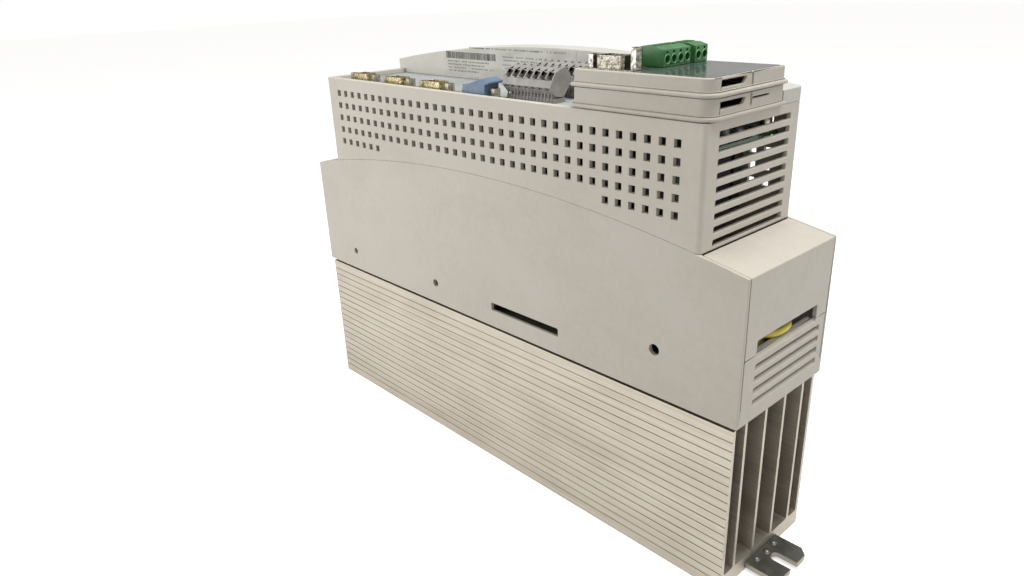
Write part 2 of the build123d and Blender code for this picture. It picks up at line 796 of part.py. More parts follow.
def module_lid():
    with BuildPart() as lid:
        extrude(module_plan(0, MOD_SPLIT), amount=MOD_TOP - MOD_SPLIT)
        extrude(module_plan(MOD_BEAD, MOD_SPLIT + 0.2), amount=2.0)
        extrude(module_plan(-2.0, MOD_SPLIT - 1), amount=MOD_TOP - MOD_SPLIT - 1, mode=Mode.SUBTRACT)
        end_window(244.4, 247.3)
        block(MOD_X1 - 0.4, MOD_X1, -8.2, -7.8, 243.0, MOD_TOP, Mode.SUBTRACT)
        x, y = MOD_SUBD_X, MOD_SUBD_Y
        block(x - 9.5, x + 9.5, y - 5, y + 5, 240, 250, Mode.SUBTRACT)
        for jack in (-1, 1):
            rod(x + jack * JACK_PITCH / 2, y, 240, 250, 1.6, Mode.SUBTRACT)
        for middle, half in ((GREEN_4_Y, 10.9), (GREEN_2_Y, 5.5)):
            block(97.2, 108.8, middle - half, middle + half, 240, 250, Mode.SUBTRACT)
    return lid.part


def module_film():
    z0, z1 = MOD_TOP, MOD_TOP + 0.2
    with BuildPart() as film:
        extrude(module_plan(-1.8, z0), amount=0.2)
        x, y = MOD_SUBD_X, MOD_SUBD_Y
        block(70, x + 15.8, y - 10, y + 6.6, z0, z1, Mode.SUBTRACT)
        for middle, half in ((GREEN_4_Y, 11.1), (GREEN_2_Y, 5.7)):
            block(97.0, 109.0, middle - half, middle + half, z0, z1, Mode.SUBTRACT)
        block(70, 97.0, -40, 30, z0, z1, Mode.SUBTRACT)
    return film.part


def module_board():
    with BuildPart() as board:
        block(78, 137, -35, 16, MOD_BOARD_Z, MOD_BOARD_TOP)
    return board.part


def module_link():
    """Pin block under the module's board; it reaches down into the drive's socket."""
    with BuildPart() as link:
        x, y = MOD_LINK_X, MOD_LINK_Y
        block(x - 20, x + 20, y - 3, y + 3, 220.5, MOD_BOARD_Z)
    return link.part


def module_subd_shell():
    with BuildPart() as shell:
        subd_shell_at(MOD_SUBD_X, MOD_SUBD_Y, MOD_TOP, 6.3)
    return shell.part


def module_subd_insert():
    with BuildPart() as insert:
        subd_insert_at(MOD_SUBD_X, MOD_SUBD_Y, MOD_BOARD_TOP, MOD_TOP + 5.7)
    return insert.part


def module_subd_jackscrews():
    """The jackscrew next to the green plugs stands higher: it is not screwed right in."""
    with BuildPart() as jacks:
        half = JACK_PITCH / 2
        jack_nut_at(MOD_SUBD_X - half, MOD_SUBD_Y, MOD_TOP + 0.5, 5.6, 6)
        jack_nut_at(MOD_SUBD_X + half, MOD_SUBD_Y, MOD_TOP + 0.5, 9.4, 6)
    return jacks.part


def green_header(middle, poles):
    half = poles * GREEN_PITCH / 2 + 0.4
    with BuildPart() as header:
        block(97.5, 108.5, middle - half, middle + half, MOD_BOARD_TOP, 248.3)
        block(99.3, 106.7, middle - half + 1, middle + half - 1, 239, 249, Mode.SUBTRACT)
    return header.part


def green_plug(middle, poles):
    half = poles * GREEN_PITCH / 2
    with BuildPart() as plug:
        with BuildSketch(Plane.XZ.offset(-middle)):
            with BuildLine():
                Polyline(
                    (GREEN_X0, GREEN_Z0),
                    (GREEN_X1, GREEN_Z0),
                    (GREEN_X1, 256.4),
                    (107.0, GREEN_TOP),
                    (GREEN_X0, GREEN_TOP),
                    close=True,
                )
            make_face()
        extrude(amount=half, both=True)
        block(99.7, 106.3, middle - half + 1, middle + half - 1, 240, GREEN_Z0)
        for i in range(poles):
            y = middle + GREEN_PITCH * (i - (poles - 1) / 2)
            rod_x(GREEN_X1 - 5.5, GREEN_X1 + 1, y, 252.2, 1.85, Mode.SUBTRACT)
            block(GREEN_X1 - 2, GREEN_X1 + 1, y - 0.7, y + 0.7, 254.7, 255.7, Mode.SUBTRACT)
            rod(102.5, y, 253.5, 258, 1.7, Mode.SUBTRACT)
    return plug.part


def green_plug_screws(middle, poles):
    with BuildPart() as screws:
        for i in range(poles):
            y = middle + GREEN_PITCH * (i - (poles - 1) / 2)
            slotted_screw(102.5, y, 253.5, 254.6, 256.9, 1.2, 1.6)
    return screws.part


PARTS = {
    "heatsink": heatsink(),
    "fixing_bracket_top": fixing_bracket(1),
    "fixing_bracket_bottom": fixing_bracket(-1),
    "base_shroud": base_shroud(),
    "upper_housing": upper_housing(),
    "front_panel": front_panel(),
    "nameplate_wall": nameplate_wall(),
    "rating_label": rating_label(),
    "mains_terminal_cover": terminal_cover(1),
    "motor_terminal_cover": terminal_cover(-1),
    "mains_terminal_block": power_terminal_block(1),
    "motor_terminal_block": power_terminal_block(-1),
    "mains_terminal_screws": power_terminal_screws(1),
    "motor_terminal_screws": power_terminal_screws(-1),
    "earth_screws": earth_screws(),
    "earth_lead": earth_lead(),
    "power_board": power_board(),
    "board_standoffs": board_standoffs(),
    "board_screws": board_screws(),
    "power_module": power_module(),
    "thermal_pad": thermal_pad(),
    "rectifier_bridge": rectifier_bridge(),
    "link_capacitors": link_capacitors(),
    "mains_choke": mains_choke(),
    "charge_relays": charge_relays(),
    "supply_transformer": supply_transformer(),
    "board_link_sockets": board_link_sockets(),
    "ribbon_cable": ribbon_cable(),
    "housing_screws": housing_screws(),
    "control_board": control_board(),
    "control_standoffs": control_standoffs(),
    "control_screws": control_screws(),
    "subd_shells": subd_shells(),
    "subd_inserts": subd_inserts(),
    "subd_jackscrews": subd_jackscrews(),
    "dust_cap": dust_cap(),
    "terminal_header_near": terminal_header(PLUG_NEAR_Y),
    "terminal_header_far": terminal_header(PLUG_FAR_Y),
    "terminal_plug_near": terminal_plug(PLUG_NEAR_Y),
    "terminal_plug_far": terminal_plug(PLUG_FAR_Y),
    "terminal_screws_near": terminal_plug_screws(PLUG_NEAR_Y),
    "terminal_screws_far": terminal_plug_screws(PLUG_FAR_Y),
    "module_socket": module_socket(),
    "module_base": module_base(),
    "module_lid": module_lid(),
    "module_film": module_film(),
    "module_board": module_board(),
    "module_link": module_link(),
    "module_subd_shell": module_subd_shell(),
    "module_subd_insert": module_subd_insert(),
    "module_subd_jackscrews": module_subd_jackscrews(),
    "green_header_4": green_header(GREEN_4_Y, 4),
    "green_header_2": green_header(GREEN_2_Y, 2),
    "green_plug_4": green_plug(GREEN_4_Y, 4),
    "green_plug_2": green_plug(GREEN_2_Y, 2),
    "green_screws_4": green_plug_screws(GREEN_4_Y, 4),
    "green_screws_2": green_plug_screws(GREEN_2_Y, 2),
}

for name, part in PARTS.items():
    save(part, name)
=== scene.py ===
"""Servo drive: the looks of a book-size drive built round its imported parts."""

import json
import math

import bmesh
import bpy
from mathutils import Matrix, Vector

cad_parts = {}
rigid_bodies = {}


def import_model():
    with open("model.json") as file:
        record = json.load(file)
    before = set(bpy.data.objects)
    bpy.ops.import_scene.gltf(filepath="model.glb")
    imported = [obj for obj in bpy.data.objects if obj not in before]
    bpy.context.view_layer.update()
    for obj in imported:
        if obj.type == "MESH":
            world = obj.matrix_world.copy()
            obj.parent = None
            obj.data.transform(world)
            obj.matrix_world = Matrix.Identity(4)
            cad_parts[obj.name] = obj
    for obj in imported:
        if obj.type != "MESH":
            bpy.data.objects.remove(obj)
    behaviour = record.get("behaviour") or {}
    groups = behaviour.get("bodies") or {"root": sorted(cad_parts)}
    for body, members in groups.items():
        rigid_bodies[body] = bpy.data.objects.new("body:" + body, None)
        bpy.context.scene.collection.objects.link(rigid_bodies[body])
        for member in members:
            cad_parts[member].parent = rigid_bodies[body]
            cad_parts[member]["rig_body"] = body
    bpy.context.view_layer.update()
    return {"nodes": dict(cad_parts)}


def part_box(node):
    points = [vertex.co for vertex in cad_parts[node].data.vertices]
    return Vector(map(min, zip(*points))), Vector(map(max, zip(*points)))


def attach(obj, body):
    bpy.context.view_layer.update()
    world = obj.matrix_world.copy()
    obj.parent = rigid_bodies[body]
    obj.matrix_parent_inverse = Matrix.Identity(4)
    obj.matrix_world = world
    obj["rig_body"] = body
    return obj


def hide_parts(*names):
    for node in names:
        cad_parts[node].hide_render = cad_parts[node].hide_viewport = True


bl_info = {
    "name": "Servo drive",
    "version": (1, 0, 0),
    "blender": (4, 5, 0),
    "location": "View3D > Sidebar > Servo drive",
    "description": "Builds the looks of a book-size servo drive",
    "category": "Object",
}

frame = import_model()
MM = 0.001

# Places and sizes in mm, in the drive's own frame.
CONTROL_BOARD_UNDER, CONTROL_BOARD_TOP, POWER_BOARD_TOP = 215.0, 216.6, 115.6
OPEN_SUBD_X, SUBD_Y = (-120.0, -82.0, -44.0), -27.5
CONTACT_PITCH, CONTACT_ROW = 2.77, 1.42
POLE_PITCH, RIB_PITCH = 5.08, 2.54
MODULE_CORNER, BEAD_Z, WIRE_HOLE_Z = 6.5, (231.9, 241.5), 252.2
LEAD_ROUTE = [
    (156, -14.25, 121.5), (165.5, -14.25, 121.5), (165.5, -12, 131.9),
    (171.6, -6, 131.9), (171.6, 7, 131.9), (165.5, 12, 131.9),
    (165, -4, 107), (165, 9.2, 107),
]

# The stage, in metres, and the camera's turn in degrees.
FLOOR_HALF, FLOOR_Z, FLOOR_GLOW = 6.0, -0.0002, 0.6
SURROUND_RADIUS, SURROUND_GLOW = 7.0, 1.0
CAMERA_PLACE, CAMERA_TURN = (0.3279, -0.3115, 0.2895), (67.925, 1.965, 46.937)
SENSOR_WIDTH = 36.0


# ---------------------------------------------------------------- small tools


def linear(code):
    """Linear colour of an sRGB hex value."""
    parts = [int(code[i:i + 2], 16) / 255 for i in (0, 2, 4)]
    return tuple(c / 12.92 if c <= 0.04045 else ((c + 0.055) / 1.055) ** 2.4 for c in parts)


def colour(code):
    return (*linear(code), 1.0)


def add(tree, kind, wires=(), **settings):
    """Adds one node to a tree; wires are pairs of input and value or output."""
    made = tree.nodes.new(kind)
    for name, value in settings.items():
        setattr(made, name, value)
    for key, value in wires:
        if isinstance(value, bpy.types.NodeSocket):
            tree.links.new(value, made.inputs[key])
        else:
            made.inputs[key].default_value = value
    return made


def ramp(tree, value, stops):
    """Colour ramp with (place, hex) stops."""
    made = add(tree, "ShaderNodeValToRGB", [("Fac", value)])
    marks = made.color_ramp.elements
    while len(marks) < len(stops):
        marks.new(0.5)
    for mark, (place, code) in zip(marks, stops):
        mark.position = place
        mark.color = colour(code)
    return made.outputs["Color"]


def tint(tree, shader, value, stops):
    """Colours the surface along these stops as the value goes from 0 to 1."""
    shade = ramp(tree, value, stops)
    tree.links.new(shade, shader.inputs["Base Color"])


def scaled_place(tree, sizes):
    """Object coordinates where a pattern of the given sizes in mm is one unit."""
    place = add(tree, "ShaderNodeTexCoord").outputs["Object"]
    return add(
        tree, "ShaderNodeMapping",
        [("Vector", place), ("Scale", tuple(1000 / s for s in sizes))],
    ).outputs["Vector"]


def maths(tree, operation, *values):
    """The outcome of one arithmetic node."""
    return add(
        tree, "ShaderNodeMath", list(enumerate(values)), operation=operation
    ).outputs[0]


def noise(tree, sizes, detail):
    """Cloudiness from 0 to 1, with lumps of these sizes in mm."""
    return add(
        tree, "ShaderNodeTexNoise",
        [("Vector", scaled_place(tree, sizes)), ("Scale", 1.0), ("Detail", detail)],
    ).outputs["Fac"]


def start_material(name, rough, metallic=0.0, ior=None, coat=0.0):
    """A material with its shader's plain values set on the shader itself."""
    made = bpy.data.materials.new(name)
    made.use_nodes = True
    shader = made.node_tree.nodes["Principled BSDF"]
    shader.inputs["Metallic"].default_value = metallic
    shader.inputs["Roughness"].default_value = rough
    shader.inputs["Coat Weight"].default_value = coat
    if ior:
        shader.inputs["IOR"].default_value = ior
    return made, made.node_tree, shader


def relief(tree, shader, height, depth_mm, strength):
    """Bump of a real depth from a height between 0 and 1."""
    bump = add(
        tree, "ShaderNodeBump",
        [("Height", height), ("Distance", depth_mm * MM), ("Strength", strength)],
    )
    tree.links.new(bump.outputs["Normal"], shader.inputs["Normal"])
    return bump


def rough_between(tree, shader, value, low, high):
    spread = add(
        tree, "ShaderNodeMapRange", [("Value", value), ("To Min", low), ("To Max", high)]
    )
    tree.links.new(spread.outputs["Result"], shader.inputs["Roughness"])


# ------------------------------------------------------------------ finishes


def spark_eroded_plastic(name, pale, soiled, rough=0.52, grit=1.3, depth=0.05):
    """Glass-filled blend moulded in a spark-eroded mould: fine grit, and soft
    clouds where hands and dust have dulled it. The grit is drawn at 1.3 mm,
    coarser than the real 0.3 mm, so that it shows."""
    made, tree, shader = start_material(name, rough, ior=1.52)
    clouds = add(
        tree, "ShaderNodeTexNoise",
        [("Vector", scaled_place(tree, (55, 55, 40))), ("Scale", 1.0), ("Detail", 4.0),
         ("Roughness", 0.6)],
    ).outputs["Fac"]
    specks = noise(tree, (3.2, 3.2, 3.2), 2.0)
    mixed = maths(tree, "MULTIPLY", clouds, 0.75)
    mixed = maths(tree, "MULTIPLY_ADD", specks, 0.25, mixed)
    tint(tree, shader, mixed, [(0.36, soiled), (0.58, pale)])
    grain = noise(tree, (grit, grit, grit), 3.0)
    relief(tree, shader, grain, depth, 0.35)
    rough_between(tree, shader, clouds, rough - 0.06, rough + 0.12)
    return made


def glossy_polyamide(name, pale, deep, rough=0.34):
    """Polyamide moulded in a polished mould: waxy sheen and slight flow marks."""
    made, tree, shader = start_material(name, rough, ior=1.53)
    flow = add(
        tree, "ShaderNodeTexNoise",
        [("Vector", scaled_place(tree, (6, 6, 9))), ("Scale", 1.0), ("Detail", 3.0),
         ("Distortion", 0.6)],
    ).outputs["Fac"]
    tint(tree, shader, flow, [(0.3, deep), (0.7, pale)])
    relief(tree, shader, flow, 0.04, 0.3)
    rough_between(tree, shader, flow, rough - 0.06, rough + 0.1)
    return made


def extruded_aluminium(name, pale, dull, rough=0.5):
    """Mill-finish extrusion: die lines run along its length, oxide dulls it in
    patches. Lines are drawn about 0.9 mm apart, coarser than the real ones."""
    made, tree, shader = start_material(name, rough, metallic=1.0)
    lines = noise(tree, (140, 0.9, 0.9), 3.0)
    patches = add(
        tree, "ShaderNodeTexNoise",
        [("Vector", scaled_place(tree, (70, 26, 26))), ("Scale", 1.0), ("Detail", 5.0),
         ("Roughness", 0.65)],
    ).outputs["Fac"]
    mixed = maths(tree, "MULTIPLY", lines, 0.45)
    mixed = maths(tree, "MULTIPLY_ADD", patches, 0.55, mixed)
    tint(tree, shader, mixed, [(0.34, dull), (0.6, pale)])
    relief(tree, shader, lines, 0.08, 0.4)
    rough_between(tree, shader, patches, rough - 0.08, rough + 0.14)
    return made


def passivated_zinc(name, grey, straw, rough=0.38):
    """Zinc-plated steel with a clear-to-yellow passivation: cloudy grey faces, painted
    lighter and straw-gold on every face turned sideways, such as edges and bends, as a
    painted highlight."""
    made, tree, shader = start_material(name, rough, metallic=1.0)
    bath = noise(tree, (5, 5, 5), 5.0)
    facing = add(
        tree, "ShaderNodeSeparateXYZ",
        [("Vector", add(tree, "ShaderNodeNewGeometry").outputs["Normal"])],
    ).outputs["Z"]
    level = maths(tree, "ABSOLUTE", facing)
    # Faces turned sideways get the lighter straw-gold: a painted highlight on edges and
    # bends.
    sideways_highlight = add(
        tree, "ShaderNodeMapRange",
        [("Value", level), ("From Min", 0.25), ("From Max", 0.9), ("To Min", 1.0),
         ("To Max", 0.0)],
    ).outputs["Result"]
    blend = maths(tree, "MULTIPLY_ADD", bath, 0.5, sideways_highlight)
    tint(tree, shader, blend, [(0.12, grey), (0.45, "85867D"), (1.0, straw)])
    relief(tree, shader, bath, 0.03, 0.3)
    rough_between(tree, shader, bath, rough - 0.1, rough + 0.16)
    return made


def plated_metal(name, bright, tarnish, rough=0.24, blotch=2.2):
    """Nickel, tin or bare brass on small turned and drawn parts: bright, with
    tarnish gathered in blotches."""
    made, tree, shader = start_material(name, rough, metallic=1.0)
    spots = add(
        tree, "ShaderNodeTexNoise",
        [("Vector", scaled_place(tree, (blotch, blotch, blotch))), ("Scale", 1.0),
         ("Detail", 4.0)],
    ).outputs["Fac"]
    tint(tree, shader, spots, [(0.38, tarnish), (0.6, bright)])
    relief(tree, shader, spots, 0.03, 0.35)
    rough_between(tree, shader, spots, rough + 0.18, rough - 0.06)
    return made


def printed_film(name):
    """Polyester membrane with a printed back: high gloss over grey-green ink,
    scuffed in fine rubbed patches."""
    made, tree, shader = start_material(name, 0.16, ior=1.64, coat=0.6)
    ink = noise(tree, (14, 22, 10), 3.0)
    tint(tree, shader, ink, [(0.3, "4C5352"), (0.7, "6A716D")])
    rub = noise(tree, (9, 3, 3), 5.0)
    rough_between(tree, shader, rub, 0.1, 0.3)
    relief(tree, shader, ink, 0.05, 0.12)
    return made


def label_stock(name):
    """Matt polyester label stock: even white with a slight tooth and grey dust."""
    made, tree, shader = start_material(name, 0.6, ior=1.5)
    dust = noise(tree, (18, 18, 6), 5.0)
    tint(tree, shader, dust, [(0.3, "BDBBB2"), (0.65, "D2D0C8")])
    relief(tree, shader, dust, 0.02, 0.2)
    return made


def label_ink(name, deep, worn):
    """Thermal-transfer ink: dark grey with worn specks."""
    made, tree, shader = start_material(name, 0.5, ior=1.5)
    wear = noise(tree, (1.2, 1.2, 1.2), 3.0)
    tint(tree, shader, wear, [(0.35, deep), (0.8, worn)])
    return made


def solder_mask(name):
    """Glass-epoxy board under green solder mask: woven cloth shows faintly, and
    paler traces run in straight courses."""
    made, tree, shader = start_material(name, 0.28, ior=1.55, coat=0.3)
    weave = add(
        tree, "ShaderNodeTexChecker",
        [("Vector", scaled_place(tree, (1.6, 1.6, 1.6))), ("Scale", 1.0)],
    ).outputs["Fac"]
    courses = add(
        tree, "ShaderNodeTexBrick",
        [("Vector", scaled_place(tree, (9, 2.4, 2.4))), ("Scale", 1.0),
         ("Mortar Size", 0.06), ("Color1", colour("174527")), ("Color2", colour("1C5230")),
         ("Mortar", colour("2C6B3F"))],
    )
    tree.links.new(courses.outputs["Color"], shader.inputs["Base Color"])
    relief(tree, shader, courses.outputs["Fac"], 0.05, 0.3)
    rough_between(tree, shader, weave, 0.24, 0.34)
    return made


def shrunk_sleeve(name):
    """Capacitor can: dark blue shrunk PVC with a pale stripe down one side, bare
    aluminium on the vented top."""
    made, tree, shader = start_material(name, 0.3, ior=1.54)
    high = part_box("link_capacitors")[1]
    place = add(
        tree, "ShaderNodeSeparateXYZ",
        [("Vector", add(tree, "ShaderNodeTexCoord").outputs["Object"])],
    )
    top = maths(tree, "GREATER_THAN", place.outputs["Z"], high.z - 0.6 * MM)
    stripe = add(
        tree, "ShaderNodeTexWave",
        [("Vector", scaled_place(tree, (26, 400, 400))), ("Scale", 1.0),
         ("Distortion", 0.0)],
    ).outputs["Fac"]
    body = ramp(tree, stripe, [(0.0, "16233F"), (0.93, "1B2A4A"), (0.96, "B9BDC4")])
    both = add(
        tree, "ShaderNodeMix",
        [("Factor", top), (6, body), (7, colour("B4B6B8"))], data_type="RGBA",
    ).outputs[2]
    tree.links.new(both, shader.inputs["Base Color"])
    grain = noise(tree, (4, 4, 1.5), 3.0)
    relief(tree, shader, grain, 0.05, 0.25)
    return made


def striped_pvc(name):
    """Protective-earth lead: extruded PVC, yellow with a green stripe along it
    that follows the lead's own round attribute."""
    made, tree, shader = start_material(name, 0.36, ior=1.53)
    turn = add(tree, "ShaderNodeAttribute", attribute_name="round").outputs["Fac"]
    along = add(
        tree, "ShaderNodeSeparateXYZ",
        [("Vector", add(tree, "ShaderNodeTexCoord").outputs["Object"])],
    ).outputs["Y"]
    twist = maths(tree, "MULTIPLY_ADD", along, 130.0, -2.6)
    angle = maths(tree, "MULTIPLY_ADD", turn, 4 * math.pi, twist)
    wave = maths(tree, "SINE", angle)
    tint(tree, shader, wave, [(0.3, "DCCB35"), (0.45, "2F7A3B")])
    scuff = noise(tree, (2, 2, 2), 3.0)
    relief(tree, shader, scuff, 0.03, 0.25)
    rough_between(tree, shader, scuff, 0.28, 0.46)
    return made


def wound_ferrite(name):
    """Sintered core with enamelled copper wound round it: turns 1.6 mm apart."""
    made, tree, shader = start_material(name, 0.42, ior=1.6)
    turns = add(
        tree, "ShaderNodeTexWave",
        [("Vector", scaled_place(tree, (1.6, 200, 200))), ("Scale", 1.0),
         ("Distortion", 0.3)],
    ).outputs["Fac"]
    tint(tree, shader, turns, [(0.15, "241A14"), (0.6, "8C4F2A")])
    relief(tree, shader, turns, 0.5, 0.6)
    return made


def ribbon_insulation(name):
    """Flat cable: grey PVC with a ridge over each conductor, 1.27 mm apart."""
    made, tree, shader = start_material(name, 0.45, ior=1.53)
    ridges = add(
        tree, "ShaderNodeTexWave",
        [("Vector", scaled_place(tree, (200, 4.0, 200))), ("Scale", 1.0),
         ("Distortion", 0.0)],
        bands_direction="Y",
    ).outputs["Fac"]
    tint(tree, shader, ridges, [(0.1, "7D8084"), (0.6, "A9ACAF")])
    relief(tree, shader, ridges, 0.3, 0.5)
    return made


def gap_pad(name):
    """Filled silicone sheet: soft, dusty grey with fine filler grain."""
    made, tree, shader = start_material(name, 0.8, ior=1.43)
    filler = noise(tree, (1, 1, 1), 4.0)
    tint(tree, shader, filler, [(0.3, "6E7074"), (0.7, "8F9195")])
    relief(tree, shader, filler, 0.05, 0.4)
    return made


def cast_epoxy(name, dark="1B1B1D", pale="2B2B2E"):
    """Relay and power-module cases: black filled moulding, slightly chalky."""
    return glossy_polyamide(name, pale, dark, rough=0.42)


FINISHES = {}


def lit_paper(name, rough, base, glow):
    """Paper with an even glow of its own and no shine, for the floor and surround."""
    made, _, shader = start_material(name, rough)
    shader.inputs["Base Color"].default_value = base
    shader.inputs["Specular IOR Level"].default_value = 0.0
    shader.inputs["Emission Color"].default_value = (1.0, 1.0, 1.0, 1.0)
    shader.inputs["Emission Strength"].default_value = glow
    return made


RECIPES = {
    "housing_plastic": lambda: spark_eroded_plastic(
        "moulded_blend_warm_grey", "CFC9BD", "C7C0B3"),
    "light_panel": lambda: spark_eroded_plastic(
        "moulded_blend_pale_grey", "D2CFC8", "C9C6BD"),
    "module_plastic": lambda: spark_eroded_plastic(
        "moulded_blend_module", "C8C2B6", "BEB7AA"),
    "sink_aluminium": lambda: extruded_aluminium(
        "extruded_aluminium_mill", "BAB3A6", "A29A8D"),
    "panel_film": lambda: spark_eroded_plastic(
        "printed_panel_film", "B3B7B6", "989D9B", rough=0.4, grit=0.9),
    "yellow_zinc": lambda: plated_metal(
        "yellow_chromated_shell", "D8CFAE", "8A7845", blotch=1.6),
    "zinc_steel": lambda: passivated_zinc("zinc_passivated_steel", "74766E", "8F8B7E"),
    "terminal_grey": lambda: glossy_polyamide("polyamide_grey", "A9A5A1", "908C89"),
    "green_plastic": lambda: glossy_polyamide("polyamide_green", "4E8C52", "3C7442"),
    # A paler green than the plug, used only on the raised rings round the wire holes.
    "green_pale": lambda: glossy_polyamide("polyamide_green_pale_ring", "8FBF93", "74A878"),
    "blue_plastic": lambda: glossy_polyamide("soft_vinyl_blue", "7488A0", "5C7391"),
    "black_plastic": lambda: glossy_polyamide("polyester_black", "29292B", "1A1A1C"),
    "screw_steel": lambda: plated_metal("zinc_plated_screw", "B9B6AE", "7E7A70"),
    "brass_nickel": lambda: plated_metal(
        "nickelled_brass_worn", "C9C5BA", "9A917B", blotch=1.2),
    "subd_steel": lambda: plated_metal(
        "tinned_steel_shell", "9C978C", "5E594E", blotch=0.9),
    "tinned_copper": lambda: plated_metal("tinned_copper_lug", "C9C7C0", "8C8A80"),
    "nickel_nut": lambda: plated_metal(
        "bright_nickel_nut", "A9A69D", "5F5C53", rough=0.18, blotch=1.5),
    "gold_contact": lambda: plated_metal("gilt_bronze_contact", "E0BE62", "A9812F"),
    "film_grey": lambda: printed_film("polyester_membrane_grey"),
    "label_white": lambda: label_stock("polyester_label_white"),
    "label_ink": lambda: label_ink("transfer_ink_dark", "232325", "4A4A4C"),
    "label_ink_pale": lambda: label_ink("transfer_ink_worn", "6C6C6C", "98978F"),
    "board_green": lambda: solder_mask("glass_epoxy_board"),
    "can_blue": lambda: shrunk_sleeve("sleeved_capacitor_can"),
    "relay_black": lambda: cast_epoxy("filled_epoxy_black"),
    "ferrite": lambda: wound_ferrite("wound_ferrite_core"),
    "pad_grey": lambda: gap_pad("filled_silicone_pad"),
    "lead_green_yellow": lambda: striped_pvc("pvc_earth_lead"),
    "ribbon_grey": lambda: ribbon_insulation("ribbon_cable_pvc"),
}


def finish(key):
    """The material of that finish, made the first time it is asked for."""
    if key not in FINISHES:
        FINISHES[key] = RECIPES[key]()
    return FINISHES[key]


# --------------------------------------------------------- making the pieces


def link(obj):
    bpy.context.scene.collection.objects.link(obj)
    return obj


def mesh_of(work, name):
    mesh = bpy.data.meshes.new(name)
    work.to_mesh(mesh)
    work.free()
    return mesh


def piece_from(name, mesh, key=None):
    obj = link(bpy.data.objects.new(name, mesh))
    if key:
        mesh.materials.clear()
        mesh.materials.append(finish(key))
    return obj


def body_of(node):
    return frame["nodes"][node]["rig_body"]


def weigh_edges(work, sharp, least):
    """Marks the sharp edges to be rounded, leaving out holes smaller than least."""
    mark = work.edges.layers.float.new("bevel_weight_edge")
    limit = math.radians(sharp)
    left = {e for e in work.edges if e.is_manifold and e.calc_face_angle() > limit}
    while left:
        group, front = [], [left.pop()]
        while front:
            edge = front.pop()
            group.append(edge)
            for vert in edge.verts:
                near = [e for e in vert.link_edges if e in left]
                left.difference_update(near)
                front.extend(near)
        places = [v.co for e in group for v in e.verts]
        span = sum(
            (max(p[i] for p in places) - min(p[i] for p in places)) ** 2 for i in range(3)
        ) ** 0.5
        if span > least * MM:
            for edge in group:
                edge[mark] = 1.0


def rounded_copy(node, name, key, round_mm, steps=2, sharp=30, least=0.0):
    """A copy of a moulding with its corners welded and its edges rounded."""
    mesh = frame["nodes"][node].data.copy()
    mesh.name = name
    work = bmesh.new()
    work.from_mesh(mesh)
    bmesh.ops.remove_doubles(work, verts=work.verts, dist=2e-6)
    weigh_edges(work, sharp, least)
    for face in work.faces:
        face.smooth = True
        face.material_index = 0
    work.to_mesh(mesh)
    work.free()
    if "custom_normal" in mesh.attributes:
        mesh.attributes.remove(mesh.attributes["custom_normal"])
    mesh.set_sharp_from_angle(angle=math.radians(sharp))
    obj = piece_from(name, mesh, key)
    if round_mm:
        edge = obj.modifiers.new("Edges", "BEVEL")
        edge.width = round_mm * MM
        edge.segments = steps
        edge.limit_method = "WEIGHT"
        edge.use_clamp_overlap = False
        edge.harden_normals = True
        edge.miter_outer = "MITER_ARC"
    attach(obj, body_of(node))
    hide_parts(node)
    return obj


def dress(node, key):
    """Gives a part that keeps its own shape its finish."""
    data = frame["nodes"][node].data
    data.materials.clear()
    data.materials.append(finish(key))


def new_tree(name, sockets):
    """An empty geometry tree with a named input for each size."""
    tree = bpy.data.node_groups.new(name, "GeometryNodeTree")
    tree.interface.new_socket("Geometry", in_out="INPUT", socket_type="NodeSocketGeometry")
    tree.interface.new_socket("Geometry", in_out="OUTPUT", socket_type="NodeSocketGeometry")
    for label, kind in sockets:
        tree.interface.new_socket(label, in_out="INPUT", socket_type="NodeSocket" + kind)
    return tree, add(tree, "NodeGroupInput").outputs


def close_tree(tree, geometry, material):
    """Every tree ends in plain geometry with its finish."""
    real = add(tree, "GeometryNodeRealizeInstances", [("Geometry", geometry)])
    coat = add(
        tree, "GeometryNodeSetMaterial",
        [("Geometry", real.outputs["Geometry"]), ("Material", material)],
    )
    add(tree, "NodeGroupOutput", [("Geometry", coat.outputs["Geometry"])])
    return tree


def grown(name, tree, start, values, body):
    """Runs a tree on a start shape and keeps the outcome as a plain mesh."""
    key = values["Finish"]
    values = {**values, "Finish": finish(key)}
    holder = link(bpy.data.objects.new(name, start))
    step = holder.modifiers.new("Grow", "NODES")
    step.node_group = tree
    for item in tree.interface.items_tree:
        if item.in_out == "INPUT" and item.name in values:
            step[item.identifier] = values[item.name]
    holder.update_tag()
    bpy.context.view_layer.update()
    shape = holder.evaluated_get(bpy.context.evaluated_depsgraph_get())
    mesh = bpy.data.meshes.new_from_object(shape)
    if not len(mesh.polygons):
        raise RuntimeError(f"{name} came out empty")
    mesh.name = name
    bpy.data.objects.remove(holder)
    obj = link(bpy.data.objects.new(name, mesh))
    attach(obj, body)
    return obj


def shapes_at_points_tree():
    """One small shape at every point, turned about the upright by chance."""
    tree, inner = new_tree("shapes at points", [
        ("Shape", "Object"), ("Turn", "Float"), ("Seed", "Int"), ("Finish", "Material")])
    shape = add(tree, "GeometryNodeObjectInfo", [("Object", inner["Shape"])])
    chance = add(
        tree, "FunctionNodeRandomValue",
        [(2, 0.0), (3, inner["Turn"]), ("Seed", inner["Seed"])], data_type="FLOAT",
    )
    turn = add(tree, "ShaderNodeCombineXYZ", [("Z", chance.outputs[1])])
    placed = add(
        tree, "GeometryNodeInstanceOnPoints",
        [("Points", inner["Geometry"]), ("Instance", shape.outputs["Geometry"]),
         ("Rotation", turn.outputs["Vector"])],
    )
    return close_tree(tree, placed.outputs["Instances"], inner["Finish"])


